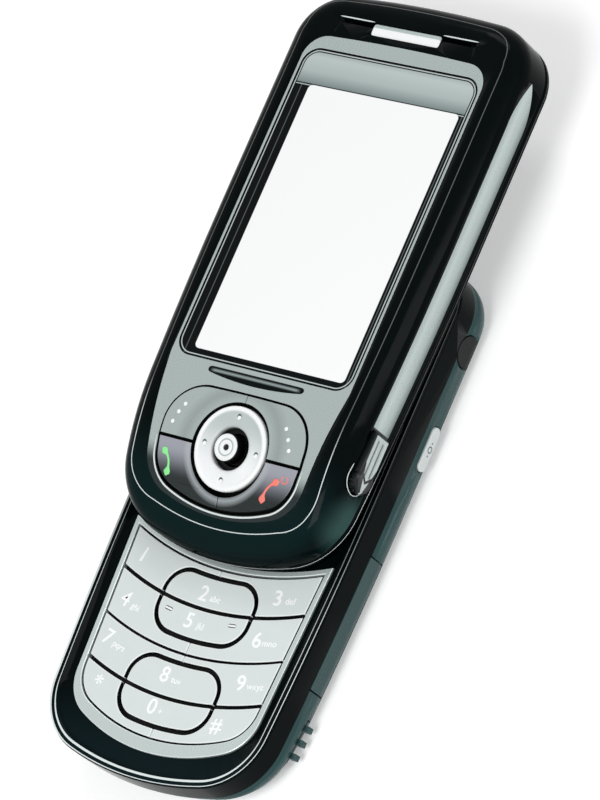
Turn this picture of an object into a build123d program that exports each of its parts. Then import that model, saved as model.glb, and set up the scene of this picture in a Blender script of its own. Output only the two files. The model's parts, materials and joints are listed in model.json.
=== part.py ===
from build123d import *
import os
from math import asin, cos, degrees, radians, sin, sqrt

# Slide phone, millimetres. +X is the phone's right side, +Y its top, +Z its front.
# The origin is the middle of the base's flat back. The phone is drawn slid open.

# Overall sizes
body_width = 48.4
base_length = 99.6
base_height = 11.1
slider_length = 100.6
slider_height = 11.0
slide_gap = 0.4
slide_travel = 39.2

# Outline of each half
top_crown = 1.3
base_top_corner = 9.0
base_low_corner = 12.0
base_low_radius = 54.0
slider_top_corner = 9.5
slider_low_corner = 12.0
slider_low_radius = 48.0
side_draw_in = 2.3
taper_start = 10.0
chin_radius = 50.0
chin_start = 27.0
slider_edge_round = 4.2
slider_foot_round = 0.6
back_round = 3.6
tail_length = 21.8
tail_rise = 4.0
rim_round = 0.5

# Walls, splits and clearances
wall = 1.6
base_split = 5.0
slider_split = 13.4
fit_gap = 0.1
key_gap = 0.25
move_gap = 0.3
run_gap = 0.05

# Front of the slider
lens_side = 5.7
lens_length = 58.1
lens_corner = 3.2
lens_thickness = 0.95
lens_sink = 0.1
lens_from_top = 12.0
window_side = 2.1
window_length = 49.7
window_from_lens_top = 6.8
fascia_border = 0.45
fascia_head = 2.7
fascia_thickness = 0.8
fascia_low_side = 8.2
face_skin = 1.9
pad_side = 9.0
pad_gap = 0.45
pad_length = 19.8
pad_above_chin = 6.7
pad_corner = 7.6
pad_low_sag = 3.6
divider_above_pad = 9.8
key_stand = 0.15
key_thickness = 1.65
nav_radius = 7.25
nav_well = 7.85
nav_bore = 3.65
knob_radius = 2.35
knob_height = 1.4
status_half = 9.0
earpiece_half = 14.3
earpiece_bar_half = 7.15
earpiece_from_top = 6.4

# Sides of the slider
trim_low_z = 14.2
trim_high_z = 19.0
trim_depth = 1.0
trim_from_top = 9.0
trim_tip_length = 9.0
side_key_length = 10.4
side_key_above_chin = 16.2

# Slide mechanism
rail_side = 6.3
rail_flange = 2.7
rail_sheet = 0.5
rail_joggle = 0.7
rail_low = -3.0
rail_high = 84.0
carriage_side = 5.3
carriage_low = 6.0
carriage_length = 38.0
carriage_sheet = 0.6
shoe_length = 9.0
pocket_side = 4.8
pocket_depth = 1.8
spring_wire = 0.7

# Keypad in the base
lip_width = 1.5
lip_height = 1.0
deck_thickness = 1.2
field_side = 4.3
field_taper = 1.5
field_low_radius = 35.0
field_low = -42.5
field_corner = 7.0
row_tops = (-11.6, -19.0, -27.2, -35.1, -43.0)
row_radius = 53.5
frame_width = 1.0
frame_low_extra = 1.3
oval_share = 0.48
oval_drop = 1.65
oval_length = 11.4
oval_top_corner = 4.2
oval_low_corner = 4.6
oval_sag = 1.1
row_gaps = (0.3, 0.65, 0.45, 0.65, 0.3)
oval_gap = 0.8
field_gap = 0.35
split_line = 0.12
number_key_thickness = 1.05
number_key_stand = 0.25

# Inside the base
tray_top = 7.1
board_thickness = 0.8
battery_side = 7.2
battery_length = 44.0
battery_thickness = 3.8
battery_top_y = 10.0
cover_edge = 1.6
cover_skin = 1.0
cover_top_y = 18.0
grip_rib_stand = 0.5
camera_y = 40.5
speaker_side = 12.7
speaker_y = 28.5
motor_y = 26.5
motor_side = 14.7
jack_y = 36.6
jack_z = 4.0
jack_bore = 1.27
jack_nose = 2.0
jack_cover_radius = 2.75
camera_key_y = 18.9
camera_key_length = 8.0
port_y = -14.0
port_cover_length = 24.0
port_cover_height = 4.0
port_z = 4.3
screw_head = 1.5
screw_shank = 0.7
jack_depth = 8.0
jack_chamber = 0.6
card_length = 18.0
card_width = 16.0
antenna_length = 8.0
antenna_width = 13.0

# Worked-out places
half = body_width / 2
lens_width = body_width - 2 * lens_side
window_width = lens_width - 2 * window_side
fascia_low_half = half - fascia_low_side
pad_half = half - pad_side
rail_half = half - rail_side
rail_web_half = rail_half - rail_flange
carriage_half = half - carriage_side
pocket_half = half - pocket_side
field_half = half - field_side
field_low_half = field_half - field_taper
oval_half = field_half * oval_share
battery_width = body_width - 2 * battery_side
speaker_x = speaker_side - half
motor_x = half - motor_side
base_high = base_length / 2
base_low = -base_length / 2
slider_low = slide_travel - slider_length / 2
slider_high = slide_travel + slider_length / 2
slider_base_z = base_height + slide_gap
top_z = slider_base_z + slider_height
bend_y = slider_low + chin_start
deck_z = base_height - lip_height
deck_under = deck_z - deck_thickness
pocket_z = slider_base_z + pocket_depth
jack_mouth = half - 1.7
jack_back = jack_mouth - jack_depth - jack_chamber - 0.5
lens_high = slider_high - lens_from_top
lens_low = lens_high - lens_length
lens_y = (lens_high + lens_low) / 2
window_y = lens_high - window_from_lens_top - window_length / 2
lens_seat_z = top_z - lens_sink - lens_thickness
pad_low = slider_low + pad_above_chin
pad_high = pad_low + pad_length
divider_y = pad_low + divider_above_pad
nav_y = divider_y + 0.4
nav_tilt = degrees(asin((bend_y - nav_y) / chin_radius))
nav_z = top_z - chin_radius + sqrt(chin_radius**2 - (bend_y - nav_y) ** 2)
earpiece_y = slider_high - earpiece_from_top
number_key_top = deck_z + number_key_stand
number_key_base = number_key_top - number_key_thickness
board_base = tray_top + move_gap
board_top = board_base + board_thickness
slider_board_base = pocket_z + 1.0
slider_board_top = slider_board_base + board_thickness
carriage_high = carriage_low + carriage_length
battery_base = cover_edge - 0.1
battery_y = battery_top_y - battery_length / 2

os.makedirs("parts", exist_ok=True)


def finish(piece, name):
    """Label a finished piece and write its own file."""
    piece.part.label = name
    export_step(piece.part, "parts/" + name + ".step")


def arc_drop(radius, x):
    """How far an arc of this radius falls from its crown at a distance x."""
    return radius - sqrt(radius**2 - x**2)


def side_half(y):
    """Half-width of either plan at a height y on its drawn-in lower side."""
    run = taper_start - base_low
    radius = (run**2 + side_draw_in**2) / (2 * side_draw_in)
    return half - arc_drop(radius, max(taper_start - y, 0))


def phone_plan(low, high, low_radius, low_corner, high_corner, inset):
    """Plan of one half: straight sides that draw in to a round lower end, and a crowned top."""
    run = taper_start - base_low
    side_radius = (run**2 + side_draw_in**2) / (2 * side_draw_in) - inset
    crown_radius = (half**2 + top_crown**2) / (2 * top_crown) - inset
    side = half - inset
    start_y = low + run
    crown_y = high - inset - arc_drop(crown_radius, side)
    low_y = low + inset
    low_x = side
    for _ in range(4):
        low_y = low + inset + arc_drop(low_radius - inset, low_x)
        low_x = side - arc_drop(side_radius, start_y - low_y)
    with BuildSketch() as plan:
        with BuildLine():
            ThreePointArc((-side, crown_y), (0, high - inset), (side, crown_y))
            Line((side, crown_y), (side, start_y))
            TangentArc((side, start_y), (low_x, low_y), tangent=(0, -1))
            ThreePointArc((low_x, low_y), (0, low + inset), (-low_x, low_y))
            TangentArc((-side, start_y), (-low_x, low_y), tangent=(0, -1))
            Line((-side, start_y), (-side, crown_y))
        make_face()
        fillet(plan.vertices().group_by(Axis.Y)[0], low_corner - inset)
        fillet(plan.vertices().group_by(Axis.Y)[-1], high_corner - inset)
    return plan.sketch


def base_plan(inset=0.0):
    """Plan of the keypad half."""
    return phone_plan(base_low, base_high, base_low_radius, base_low_corner, base_top_corner, inset)


def slider_plan(inset=0.0):
    """Plan of the display half."""
    return phone_plan(
        slider_low, slider_high, slider_low_radius, slider_low_corner, slider_top_corner, inset
    )


def below_face(depth):
    """All that lies deeper than this below the slider's front face, which bends down at the chin."""
    radius = chin_radius - depth
    reach = chin_start + 2
    end_angle = asin(reach / radius)
    centre_z = top_z - chin_radius
    end_y = bend_y - reach
    end_z = centre_z + radius * cos(end_angle)
    mid_y = bend_y - radius * sin(end_angle / 2)
    mid_z = centre_z + radius * cos(end_angle / 2)
    far_y = slider_high + 5
    with BuildPart() as block:
        with BuildSketch(Plane.YZ.offset(-half - 2)):
            with BuildLine():
                ThreePointArc((end_y, end_z), (mid_y, mid_z), (bend_y, top_z - depth))
                Polyline(
                    (bend_y, top_z - depth),
                    (far_y, top_z - depth),
                    (far_y, 0),
                    (end_y, 0),
                    (end_y, end_z),
                )
            make_face()
        extrude(amount=body_width + 4)
    return block.part


def slider_form():
    """Outer form of the display half, with its soft front edge all round."""
    with BuildPart() as form:
        with BuildSketch(Plane.XY.offset(slider_base_z)):
            add(slider_plan())
        extrude(amount=slider_height + 1)
        add(below_face(0), mode=Mode.INTERSECT)
        rim = form.edges().filter_by(
            lambda e: e.center().Z > slider_split
            and abs((e @ 0 - e @ 1).Z) < 3
            and not (abs((e @ 0).Y - bend_y) < 0.01 and abs((e @ 1).Y - bend_y) < 0.01)
        )
        fillet(rim, slider_edge_round)
    return form.part


def base_form():
    """Outer form of the keypad half, with its swept-up lower back."""
    tail_radius = (tail_length**2 + tail_rise**2) / (2 * tail_rise)
    tail_y = base_low + tail_length
    mid_y = base_low + tail_length / 2
    with BuildPart() as form:
        with BuildSketch():
            add(base_plan())
        extrude(amount=base_height)
        with BuildSketch(Plane.YZ.offset(-half - 2)):
            with BuildLine():
                ThreePointArc(
                    (tail_y, 0), (mid_y, arc_drop(tail_radius, tail_length / 2)), (base_low, tail_rise)
                )
                Polyline((base_low, tail_rise), (base_low - 2, tail_rise), (base_low - 2, 0), (tail_y, 0))
            make_face()
        extrude(amount=body_width + 4, mode=Mode.SUBTRACT)
        foot = form.edges().filter_by(
            lambda e: e.center().Z < tail_rise + 0.5
            and abs((e @ 0 - e @ 1).Z) < 3
            and not (abs((e @ 0).Y - tail_y) < 0.01 and abs((e @ 1).Y - tail_y) < 0.01)
        )
        fillet(foot, back_round)
        fillet(form.faces().sort_by(Axis.Z)[-1].edges(), rim_round)
    return form.part


def lens_plan(gap=0.0):
    """Plan of the display lens, grown by a gap all round."""
    with BuildSketch() as plan:
        with Locations((0, lens_y)):
            RectangleRounded(lens_width + 2 * gap, lens_length + 2 * gap, lens_corner + gap)
    return plan.sketch


def pad_plan(inset=0.0):
    """D-shaped plan of the upper keys: a flat top with round corners over a round lower end."""
    side = pad_half - inset
    low_side = side - 0.8
    low = pad_low + inset
    high = pad_high - inset
    with BuildSketch() as plan:
        with BuildLine():
            ThreePointArc((-side, high - 0.4), (0, high), (side, high - 0.4))
            Line((side, high - 0.4), (side, divider_y))
            Line((side, divider_y), (low_side, low + pad_low_sag))
            ThreePointArc((low_side, low + pad_low_sag), (0, low), (-low_side, low + pad_low_sag))
            Line((-low_side, low + pad_low_sag), (-side, divider_y))
            Line((-side, divider_y), (-side, high - 0.4))
        make_face()
        fillet(plan.vertices().group_by(Axis.Y)[0], pad_corner - 1 - inset)
        fillet(plan.vertices().group_by(Axis.Y)[-1], pad_corner - inset)
    return plan.sketch


def fascia_plan():
    """Plan of the metallic panel round the lens and the upper keys."""
    side = lens_width / 2 + fascia_border
    high = lens_high + fascia_head
    low = pad_low - 0.9
    low_y = low + pad_low_sag
    with BuildSketch() as plan:
        with BuildLine():
            ThreePointArc((-side, high - 0.5), (0, high), (side, high - 0.5))
            Line((side, high - 0.5), (side, lens_low))
            Line((side, lens_low), (fascia_low_half, low_y))
            ThreePointArc((fascia_low_half, low_y), (0, low), (-fascia_low_half, low_y))
            Line((-fascia_low_half, low_y), (-side, lens_low))
            Line((-side, lens_low), (-side, high - 0.5))
        make_face()
        fillet(plan.vertices().group_by(Axis.Y)[0], pad_corner)
        fillet(plan.vertices().group_by(Axis.Y)[-1], lens_corner + 1.2)
    return plan.sketch


def status_plan(inset=0.0):
    """Thin bow under the lens."""
    high = lens_low - 1.1 - inset
    side_y = high - 0.8 + inset
    side = status_half - inset
    with BuildSketch() as plan:
        with BuildLine():
            Line((-side, high), (side, high))
            Line((side, high), (side - 0.6, side_y))
            ThreePointArc((side - 0.6, side_y), (0, side_y - 0.8 + inset), (-side + 0.6, side_y))
            Line((-side + 0.6, side_y), (-side, high))
        make_face()
    return plan.sketch


nav_plane = Plane(
    origin=(0, nav_y, nav_z),
    x_dir=(1, 0, 0),
    z_dir=(0, -sin(radians(nav_tilt)), cos(radians(nav_tilt))),
)


def prism(plan, low, high):
    """A plan carried straight up between two heights."""
    with BuildPart() as block:
        with BuildSketch(Plane.XY.offset(low)):
            add(plan)
        extrude(amount=high - low)
    return block.part


def under_face(plan, upper):
    """A plan from the slider's parting plane up to a depth below its bent front face."""
    with BuildPart() as layer:
        add(prism(plan, slider_split, top_z + 2))
        add(below_face(upper), mode=Mode.INTERSECT)
    return layer.part


def face_layer(plan, upper, lower):
    """A plan between two depths below the slider's bent front face."""
    with BuildPart() as layer:
        add(under_face(plan, upper))
        add(below_face(lower), mode=Mode.SUBTRACT)
    return layer.part


def round_bar(centre_x, centre_y, radius, low, high):
    """An upright round solid."""
    with BuildPart() as bar:
        with BuildSketch(Plane.XY.offset(low)):
            with Locations((centre_x, centre_y)):
                Circle(radius)
        extrude(amount=high - low)
    return bar.part


def block(low, high):
    """A plain box between two corners."""
    middle = [(a + b) / 2 for a, b in zip(low, high)]
    size = [b - a for a, b in zip(low, high)]
    return Pos(*middle) * Box(*size, mode=Mode.PRIVATE)


slider_body = slider_form()
base_body = base_form()

# Side strip and long side key: their outlines as seen from the side
trim_high_y = slider_high - trim_from_top
key_low_y = slider_low + side_key_above_chin
key_high_y = key_low_y + side_key_length
trim_low_y = key_high_y + key_gap
trim_mid_z = (trim_low_z + trim_high_z) / 2
trim_bow_y = trim_high_y - trim_tip_length * 0.42
cavity_inset = slider_edge_round - wall


def trim_plan():
    """Side view of the strip: level edges that run to a point near the top."""
    tip = (trim_high_y, trim_mid_z + 0.6)
    high_start = (trim_high_y - trim_tip_length, trim_high_z)
    low_start = (trim_high_y - trim_tip_length, trim_low_z)
    with BuildSketch() as plan:
        with BuildLine():
            Line((trim_low_y, trim_low_z), (trim_low_y, trim_high_z))
            Line((trim_low_y, trim_high_z), high_start)
            ThreePointArc(high_start, (trim_bow_y, trim_high_z - 0.45), tip)
            ThreePointArc(tip, (trim_bow_y, trim_low_z + 0.8), low_start)
            Line(low_start, (trim_low_y, trim_low_z))
        make_face()
    return plan.sketch


def side_key_plan(grow=0.0):
    """Side view of the long key: a square upper end and a round lower end."""
    high_y = key_high_y + grow
    low_y = key_low_y - grow
    low_z = trim_low_z + 0.35 - grow
    high_z = trim_high_z - 0.35 + grow
    with BuildSketch() as plan:
        with BuildLine():
            Line((high_y, low_z), (high_y, high_z))
            Line((high_y, high_z), (low_y + 3.4, high_z))
            ThreePointArc((low_y + 3.4, high_z), (low_y, trim_mid_z), (low_y + 3.4, low_z))
            Line((low_y + 3.4, low_z), (high_y, low_z))
        make_face()
    return plan.sketch


def side_slab(plan, low_x, high_x):
    """A side view carried outwards between two distances from the middle."""
    with BuildPart() as slab:
        with BuildSketch(Plane.YZ.offset(low_x)):
            add(plan)
        extrude(amount=high_x - low_x)
    return slab.part


trim_core = prism(slider_plan(trim_depth), slider_base_z, top_z + 1)

# Front housing of the slider: a moulded shell with the lens seat, fascia recess and key opening
with BuildPart() as slider_front_housing:
    add(slider_body)
    add(block((-half, slider_low, slider_split), (half, slider_high, top_z)), mode=Mode.INTERSECT)
    add(under_face(slider_plan(cavity_inset), face_skin), mode=Mode.SUBTRACT)
    add(face_layer(fascia_plan(), -2, fascia_thickness), mode=Mode.SUBTRACT)
    add(prism(lens_plan(), lens_seat_z, top_z + 1), mode=Mode.SUBTRACT)
    with BuildSketch(Plane.XY.offset(slider_split)):
        with Locations((0, window_y)):
            Rectangle(window_width + 0.8, window_length + 0.8)
        add(pad_plan())
    extrude(amount=slider_height, mode=Mode.SUBTRACT)
    with BuildSketch(Plane.XY.offset(top_z - 1.2)):
        with Locations((0, earpiece_y + 0.2)):
            RectangleRounded(2 * earpiece_half, 1.0, 0.45)
        with Locations((0, earpiece_y - 0.55)):
            RectangleRounded(2 * earpiece_bar_half, 2.2, 0.5)
    extrude(amount=2, mode=Mode.SUBTRACT)
    with BuildSketch(Plane.XY.offset(top_z - 3)):
        with Locations((earpiece_half * 0.72, earpiece_y + 0.2), (-earpiece_half * 0.72, earpiece_y + 0.2)):
            RectangleRounded(4.4, 0.7, 0.3)
    extrude(amount=3, mode=Mode.SUBTRACT)
    trim_cut = side_slab(trim_plan(), half - 3, half + 2) - trim_core
    add(trim_cut, mode=Mode.SUBTRACT)
    add(mirror(trim_cut, about=Plane.YZ, mode=Mode.PRIVATE), mode=Mode.SUBTRACT)
    add(side_slab(side_key_plan(key_gap), half - cavity_inset - 1, half + 2), mode=Mode.SUBTRACT)
finish(slider_front_housing, "slider_front_housing")

# Silver strips let into both sides of the slider
with BuildPart() as side_trims:
    add(side_slab(trim_plan(), half - 3, half + 2))
    add(trim_core, mode=Mode.SUBTRACT)
    mirror(about=Plane.YZ)
    add(slider_body, mode=Mode.INTERSECT)
finish(side_trims, "side_trims")

# Long rocking key on the right side, with two grip grooves
with BuildPart() as side_key:
    with BuildSketch(Plane.YZ.offset(half - cavity_inset + 0.4)):
        add(side_key_plan())
    extrude(amount=cavity_inset - 0.1)
    chamfer(side_key.faces().sort_by(Axis.X)[-1].edges(), 0.3)
    with BuildSketch(Plane.YZ.offset(half + 0.3)):
        with Locations((key_low_y + 6.2, trim_mid_z - 0.65), (key_low_y + 6.2, trim_mid_z + 0.75)):
            SlotOverall(6.4, 0.6)
    extrude(amount=-0.45, mode=Mode.SUBTRACT)
finish(side_key, "side_key")

# Metallic panel, bent with the face, open for the lens and the upper keys
with BuildPart() as fascia_plate:
    add(face_layer(fascia_plan(), 0, fascia_thickness))
    add(prism(lens_plan(), slider_split, top_z + 1), mode=Mode.SUBTRACT)
    add(prism(pad_plan(), slider_split, top_z + 1), mode=Mode.SUBTRACT)
    add(prism(status_plan(), slider_split, top_z + 1), mode=Mode.SUBTRACT)
finish(fascia_plate, "fascia_plate")

# Dark bow-shaped strip under the lens
with BuildPart() as status_bar:
    add(face_layer(status_plan(run_gap), 0.2, fascia_thickness))
finish(status_bar, "status_bar")

# Clear lens over the whole display area
with BuildPart() as display_lens:
    add(prism(lens_plan(-run_gap), lens_seat_z, lens_seat_z + lens_thickness))
    chamfer(display_lens.faces().sort_by(Axis.Z)[-1].edges(), 0.15)
finish(display_lens, "display_lens")

# Display: a framed panel whose glass stands up into the window
module_top = top_z - face_skin - fit_gap
module_half = lens_width / 2 - 0.3
frame_top = module_top - 0.2
display_base = slider_board_top + 1.0
with BuildPart() as display_module:
    with BuildSketch(Plane.XY.offset(display_base)):
        with Locations((0, lens_y)):
            Rectangle(2 * module_half, lens_length - 1.0)
    extrude(amount=module_top - display_base)
    with BuildSketch(Plane.XY.offset(module_top)):
        with Locations((0, window_y)):
            Rectangle(window_width + 0.2, window_length + 0.2)
    extrude(amount=0.6)
finish(display_module, "display_module")

# Moulded tray that holds the display above the board
with BuildPart() as display_frame:
    with BuildSketch(Plane.XY.offset(slider_board_top)):
        with Locations((0, lens_y)):
            Rectangle(2 * module_half + 2.4, lens_length + 1.4)
    extrude(amount=frame_top - slider_board_top)
    with BuildSketch(Plane.XY.offset(display_base)):
        with Locations((0, lens_y)):
            Rectangle(2 * module_half + 0.2, lens_length - 0.8)
    extrude(amount=slider_height, mode=Mode.SUBTRACT)
finish(display_frame, "display_frame")

# Earpiece: bright bar in the slot and the small speaker behind it
with BuildPart() as earpiece_bar:
    with BuildSketch(Plane.XY.offset(top_z - 1.2)):
        with Locations((0, earpiece_y - 0.55)):
            RectangleRounded(2 * earpiece_bar_half - 0.1, 2.1, 0.45)
    extrude(amount=1.45)
    chamfer(earpiece_bar.faces().sort_by(Axis.Z)[-1].edges(), 0.3)
finish(earpiece_bar, "earpiece_bar")

speaker_high = top_z - face_skin - fit_gap
with BuildPart() as earpiece_speaker:
    with BuildSketch(Plane.XY.offset(speaker_high - 2.6)):
        with Locations((0, earpiece_y)):
            SlotOverall(13.0, 5.4)
    extrude(amount=2.6)
    with BuildSketch(Plane.XY.offset(speaker_high)):
        with Locations((0, earpiece_y)):
            SlotOverall(10.0, 2.4)
    extrude(amount=-0.3, mode=Mode.SUBTRACT)
finish(earpiece_speaker, "earpiece_speaker")

# Rear cover of the slider: a shallow tray whose open pocket takes the slide mechanism
rail_y = (rail_low + rail_high) / 2
flex_x = 14.7 - half
flex_width = 9.0
flex_sheet = 0.15
flex_low_y = 14.0
flex_high_y = 24.0
flex_fold_y = 33.0


def pocket_plan():
    """Plan of the open pocket in the slider's back, kept inside its rounded lower end."""
    with BuildSketch() as plan:
        add(slider_plan(wall + 0.6))
        with Locations((0, rail_y)):
            Rectangle(2 * pocket_half, rail_high - rail_low + 2.4, mode=Mode.INTERSECT)
    return plan.sketch


rail_screw_x = rail_web_half - 5.7
rail_screw_rows = (rail_low + 3.5, rail_y + 10, rail_high - 3.5)
rail_screw_places = [(x, y) for x in (-rail_screw_x, rail_screw_x) for y in rail_screw_rows]
with BuildPart() as slider_rear_cover:
    add(slider_body)
    add(block((-half, slider_low, slider_base_z), (half, slider_high, slider_split)), mode=Mode.INTERSECT)
    fillet(slider_rear_cover.faces().sort_by(Axis.Z)[0].edges(), slider_foot_round)
    add(prism(slider_plan(cavity_inset + fit_gap), slider_split, pocket_z + 0.7))
    add(prism(pocket_plan(), slider_base_z - 1, pocket_z), mode=Mode.SUBTRACT)
    add(
        block(
            (flex_x - flex_width / 2 - 0.5, flex_high_y - 1, pocket_z - 1),
            (flex_x + flex_width / 2 + 0.5, flex_high_y + 1, slider_split + 2),
        ),
        mode=Mode.SUBTRACT,
    )
    with BuildSketch(Plane.XY.offset(pocket_z - 1)):
        with Locations(rail_screw_places):
            Circle(screw_shank)
    extrude(amount=3, mode=Mode.SUBTRACT)
finish(slider_rear_cover, "slider_rear_cover")


def round_plan(x, y, radius):
    """A circle in plan."""
    with BuildSketch() as plan:
        with Locations((x, y)):
            Circle(radius)
    return plan.sketch


def box_plan(low_x, low_y, high_x, high_y):
    """A rectangle in plan."""
    with BuildSketch() as plan:
        with Locations(((low_x + high_x) / 2, (low_y + high_y) / 2)):
            Rectangle(high_x - low_x, high_y - low_y)
    return plan.sketch


# Upper keys: the D is cut across at the dividers, and down the middle by a hairline
key_top_depth = -key_stand
key_low_depth = key_thickness - key_stand
upper_keys = {
    "soft_key_left": (-pad_half, divider_y + key_gap, -split_line / 2, pad_high),
    "soft_key_right": (split_line / 2, divider_y + key_gap, pad_half, pad_high),
    "call_key": (-pad_half, pad_low, -split_line / 2, divider_y - key_gap),
    "end_key": (split_line / 2, pad_low, pad_half, divider_y - key_gap),
}
for name, corners in upper_keys.items():
    with BuildPart() as upper_key:
        with BuildSketch(Plane.XY.offset(slider_split)):
            add(pad_plan(pad_gap))
            add(box_plan(*corners), mode=Mode.INTERSECT)
            add(round_plan(0, nav_y, nav_well), mode=Mode.SUBTRACT)
        extrude(amount=slider_height)
        add(below_face(key_top_depth), mode=Mode.INTERSECT)
        add(below_face(key_low_depth), mode=Mode.SUBTRACT)
    finish(upper_key, name)

# Five-way key: silicone seat, rocking ring and the knob that stands up through it
with BuildPart() as nav_pad:
    with BuildSketch(nav_plane.offset(-2.15)):
        Circle(nav_radius - 0.9)
        Circle(knob_radius + 0.5, mode=Mode.SUBTRACT)
    extrude(amount=0.5)
finish(nav_pad, "nav_pad")

with BuildPart() as nav_ring:
    with BuildSketch(nav_plane.offset(-1.3)):
        Circle(nav_radius)
        Circle(nav_bore, mode=Mode.SUBTRACT)
    extrude(amount=1.5)
    chamfer(nav_ring.edges().group_by(Axis(nav_plane.origin, nav_plane.z_dir))[-1], 0.25)
    with BuildSketch(nav_plane.offset(0.2)):
        with PolarLocations((nav_radius + nav_bore) / 2, 4, start_angle=90):
            Circle(0.4)
    extrude(amount=-0.35, mode=Mode.SUBTRACT)
finish(nav_ring, "nav_ring")

with BuildPart() as nav_knob:
    with BuildSketch(nav_plane.offset(-2.4)):
        Circle(knob_radius - 0.4)
    extrude(amount=1.3)
    with BuildSketch(nav_plane.offset(-1.1)):
        Circle(knob_radius)
    extrude(amount=1.1 + knob_height)
    chamfer(nav_knob.edges().group_by(Axis(nav_plane.origin, nav_plane.z_dir))[-1], 0.45)
    with BuildSketch(nav_plane.offset(knob_height)):
        Circle(1.0)
    extrude(amount=-0.3, mode=Mode.SUBTRACT)
finish(nav_knob, "nav_knob")

# Silicone sheet under the upper keys, with stems that reach down to the board's switches
stem_x = pad_half - 4
stem_places = [(x, y) for x in (-stem_x, stem_x) for y in (divider_y - 3.6, divider_y + 4.0)]
with BuildPart() as upper_key_mat:
    add(face_layer(pad_plan(-0.9), face_skin + 0.05, face_skin + 0.7))
    for x, y in stem_places:
        add(round_bar(x, y, 1.2, slider_board_top + 0.25, top_z) & below_face(face_skin + 0.3))
    with BuildSketch(Plane.XY.offset(slider_split)):
        with Locations((0, nav_y)):
            Circle(nav_radius + 0.3)
    extrude(amount=slider_height, mode=Mode.SUBTRACT)
finish(upper_key_mat, "upper_key_mat")

# Circuit board of the slider, with a post for the five-way switch
with BuildPart() as slider_board:
    with BuildSketch(Plane.XY.offset(slider_board_base)):
        add(slider_plan(cavity_inset + 0.9))
        add(box_plan(-half, -1.5, half, slider_high), mode=Mode.INTERSECT)
    extrude(amount=board_thickness)
    with BuildSketch(Plane.XY.offset(slider_board_top)):
        with Locations((0, nav_y + 0.8)):
            Rectangle(5.0, 5.0)
    extrude(amount=3.2)
    with BuildSketch(Plane.XY.offset(slider_board_base)):
        with Locations((flex_x, flex_high_y)):
            Rectangle(flex_width + 1, 2)
    extrude(amount=board_thickness, mode=Mode.SUBTRACT)
finish(slider_board, "slider_board")

# Slide rail: one pressed sheet whose long edges are stepped down into running flanges
web_z = pocket_z - rail_sheet
flange_z = web_z - rail_joggle
rail_pin = (rail_web_half - 5.2, carriage_low + 6)
carriage_pin = (carriage_half - 7.9, carriage_high - 4.5)
spring_lead = 6.5
spring_bow = -3.0
rail_profile = [
    (0, pocket_z),
    (rail_web_half + rail_sheet, pocket_z),
    (rail_web_half + rail_sheet, flange_z + rail_sheet),
    (rail_half, flange_z + rail_sheet),
    (rail_half, flange_z),
    (rail_web_half, flange_z),
    (rail_web_half, web_z),
    (0, web_z),
]
with BuildPart() as slide_rail:
    with BuildSketch(Plane.XZ.offset(-rail_high)):
        with BuildLine():
            Polyline(*rail_profile, close=True)
        make_face()
        mirror(about=Plane.YZ)
    extrude(amount=rail_high - rail_low)
    with BuildSketch(Plane.XY.offset(web_z)):
        with Locations(rail_screw_places):
            Circle(screw_shank)
        with Locations((flex_x, flex_high_y)):
            Rectangle(flex_width + 1, 2)
        with Locations((0, rail_y - 18), (0, rail_y + 26)):
            SlotOverall(26, 5, rotation=90)
    extrude(amount=rail_sheet, mode=Mode.SUBTRACT)
    with BuildSketch(Plane.XY.offset(web_z)):
        with Locations(rail_pin):
            Circle(0.8)
    extrude(amount=-1.5)
finish(slide_rail, "slide_rail")

# Carriage plate fixed on the base's deck, with rivet holes, a flex slot and the spring's pin
stake_x = carriage_half - 3.7
stake_places = [(x, y) for x in (-stake_x, stake_x) for y in (carriage_low + 13, carriage_high - 13)]
carriage_z = deck_z + carriage_sheet
with BuildPart() as carriage_plate:
    with BuildSketch(Plane.XY.offset(deck_z)):
        with Locations((0, (carriage_low + carriage_high) / 2)):
            RectangleRounded(2 * carriage_half, carriage_length, 1.5)
        with Locations(stake_places):
            Circle(1.1, mode=Mode.SUBTRACT)
        with Locations((2, (carriage_low + carriage_high) / 2)):
            RectangleRounded(9, 14, 1.5, mode=Mode.SUBTRACT)
        with Locations((flex_x, flex_low_y)):
            Rectangle(flex_width + 1.4, 1.8, mode=Mode.SUBTRACT)
    extrude(amount=carriage_sheet)
    with BuildSketch(Plane.XY.offset(carriage_z)):
        with Locations(carriage_pin):
            Circle(0.8)
    extrude(amount=1.5)
finish(carriage_plate, "carriage_plate")

# Four channel shoes that stand on the carriage and grip the rail's flanges
shoe_inner = rail_web_half + rail_sheet + 0.35
with BuildPart() as slide_shoes:
    for low_y in (carriage_low + 0.5, carriage_high - 0.5 - shoe_length):
        with BuildSketch(Plane.XZ.offset(-low_y - shoe_length)):
            with BuildLine():
                Polyline(
                    (shoe_inner, carriage_z),
                    (carriage_half, carriage_z),
                    (carriage_half, flange_z + rail_sheet + run_gap + 0.35),
                    (shoe_inner, flange_z + rail_sheet + run_gap + 0.35),
                    (shoe_inner, flange_z + rail_sheet + run_gap),
                    (rail_half + run_gap, flange_z + rail_sheet + run_gap),
                    (rail_half + run_gap, flange_z - run_gap),
                    (shoe_inner, flange_z - run_gap),
                    close=True,
                )
            make_face()
            mirror(about=Plane.YZ)
        extrude(amount=shoe_length)
finish(slide_shoes, "slide_shoes")

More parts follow.
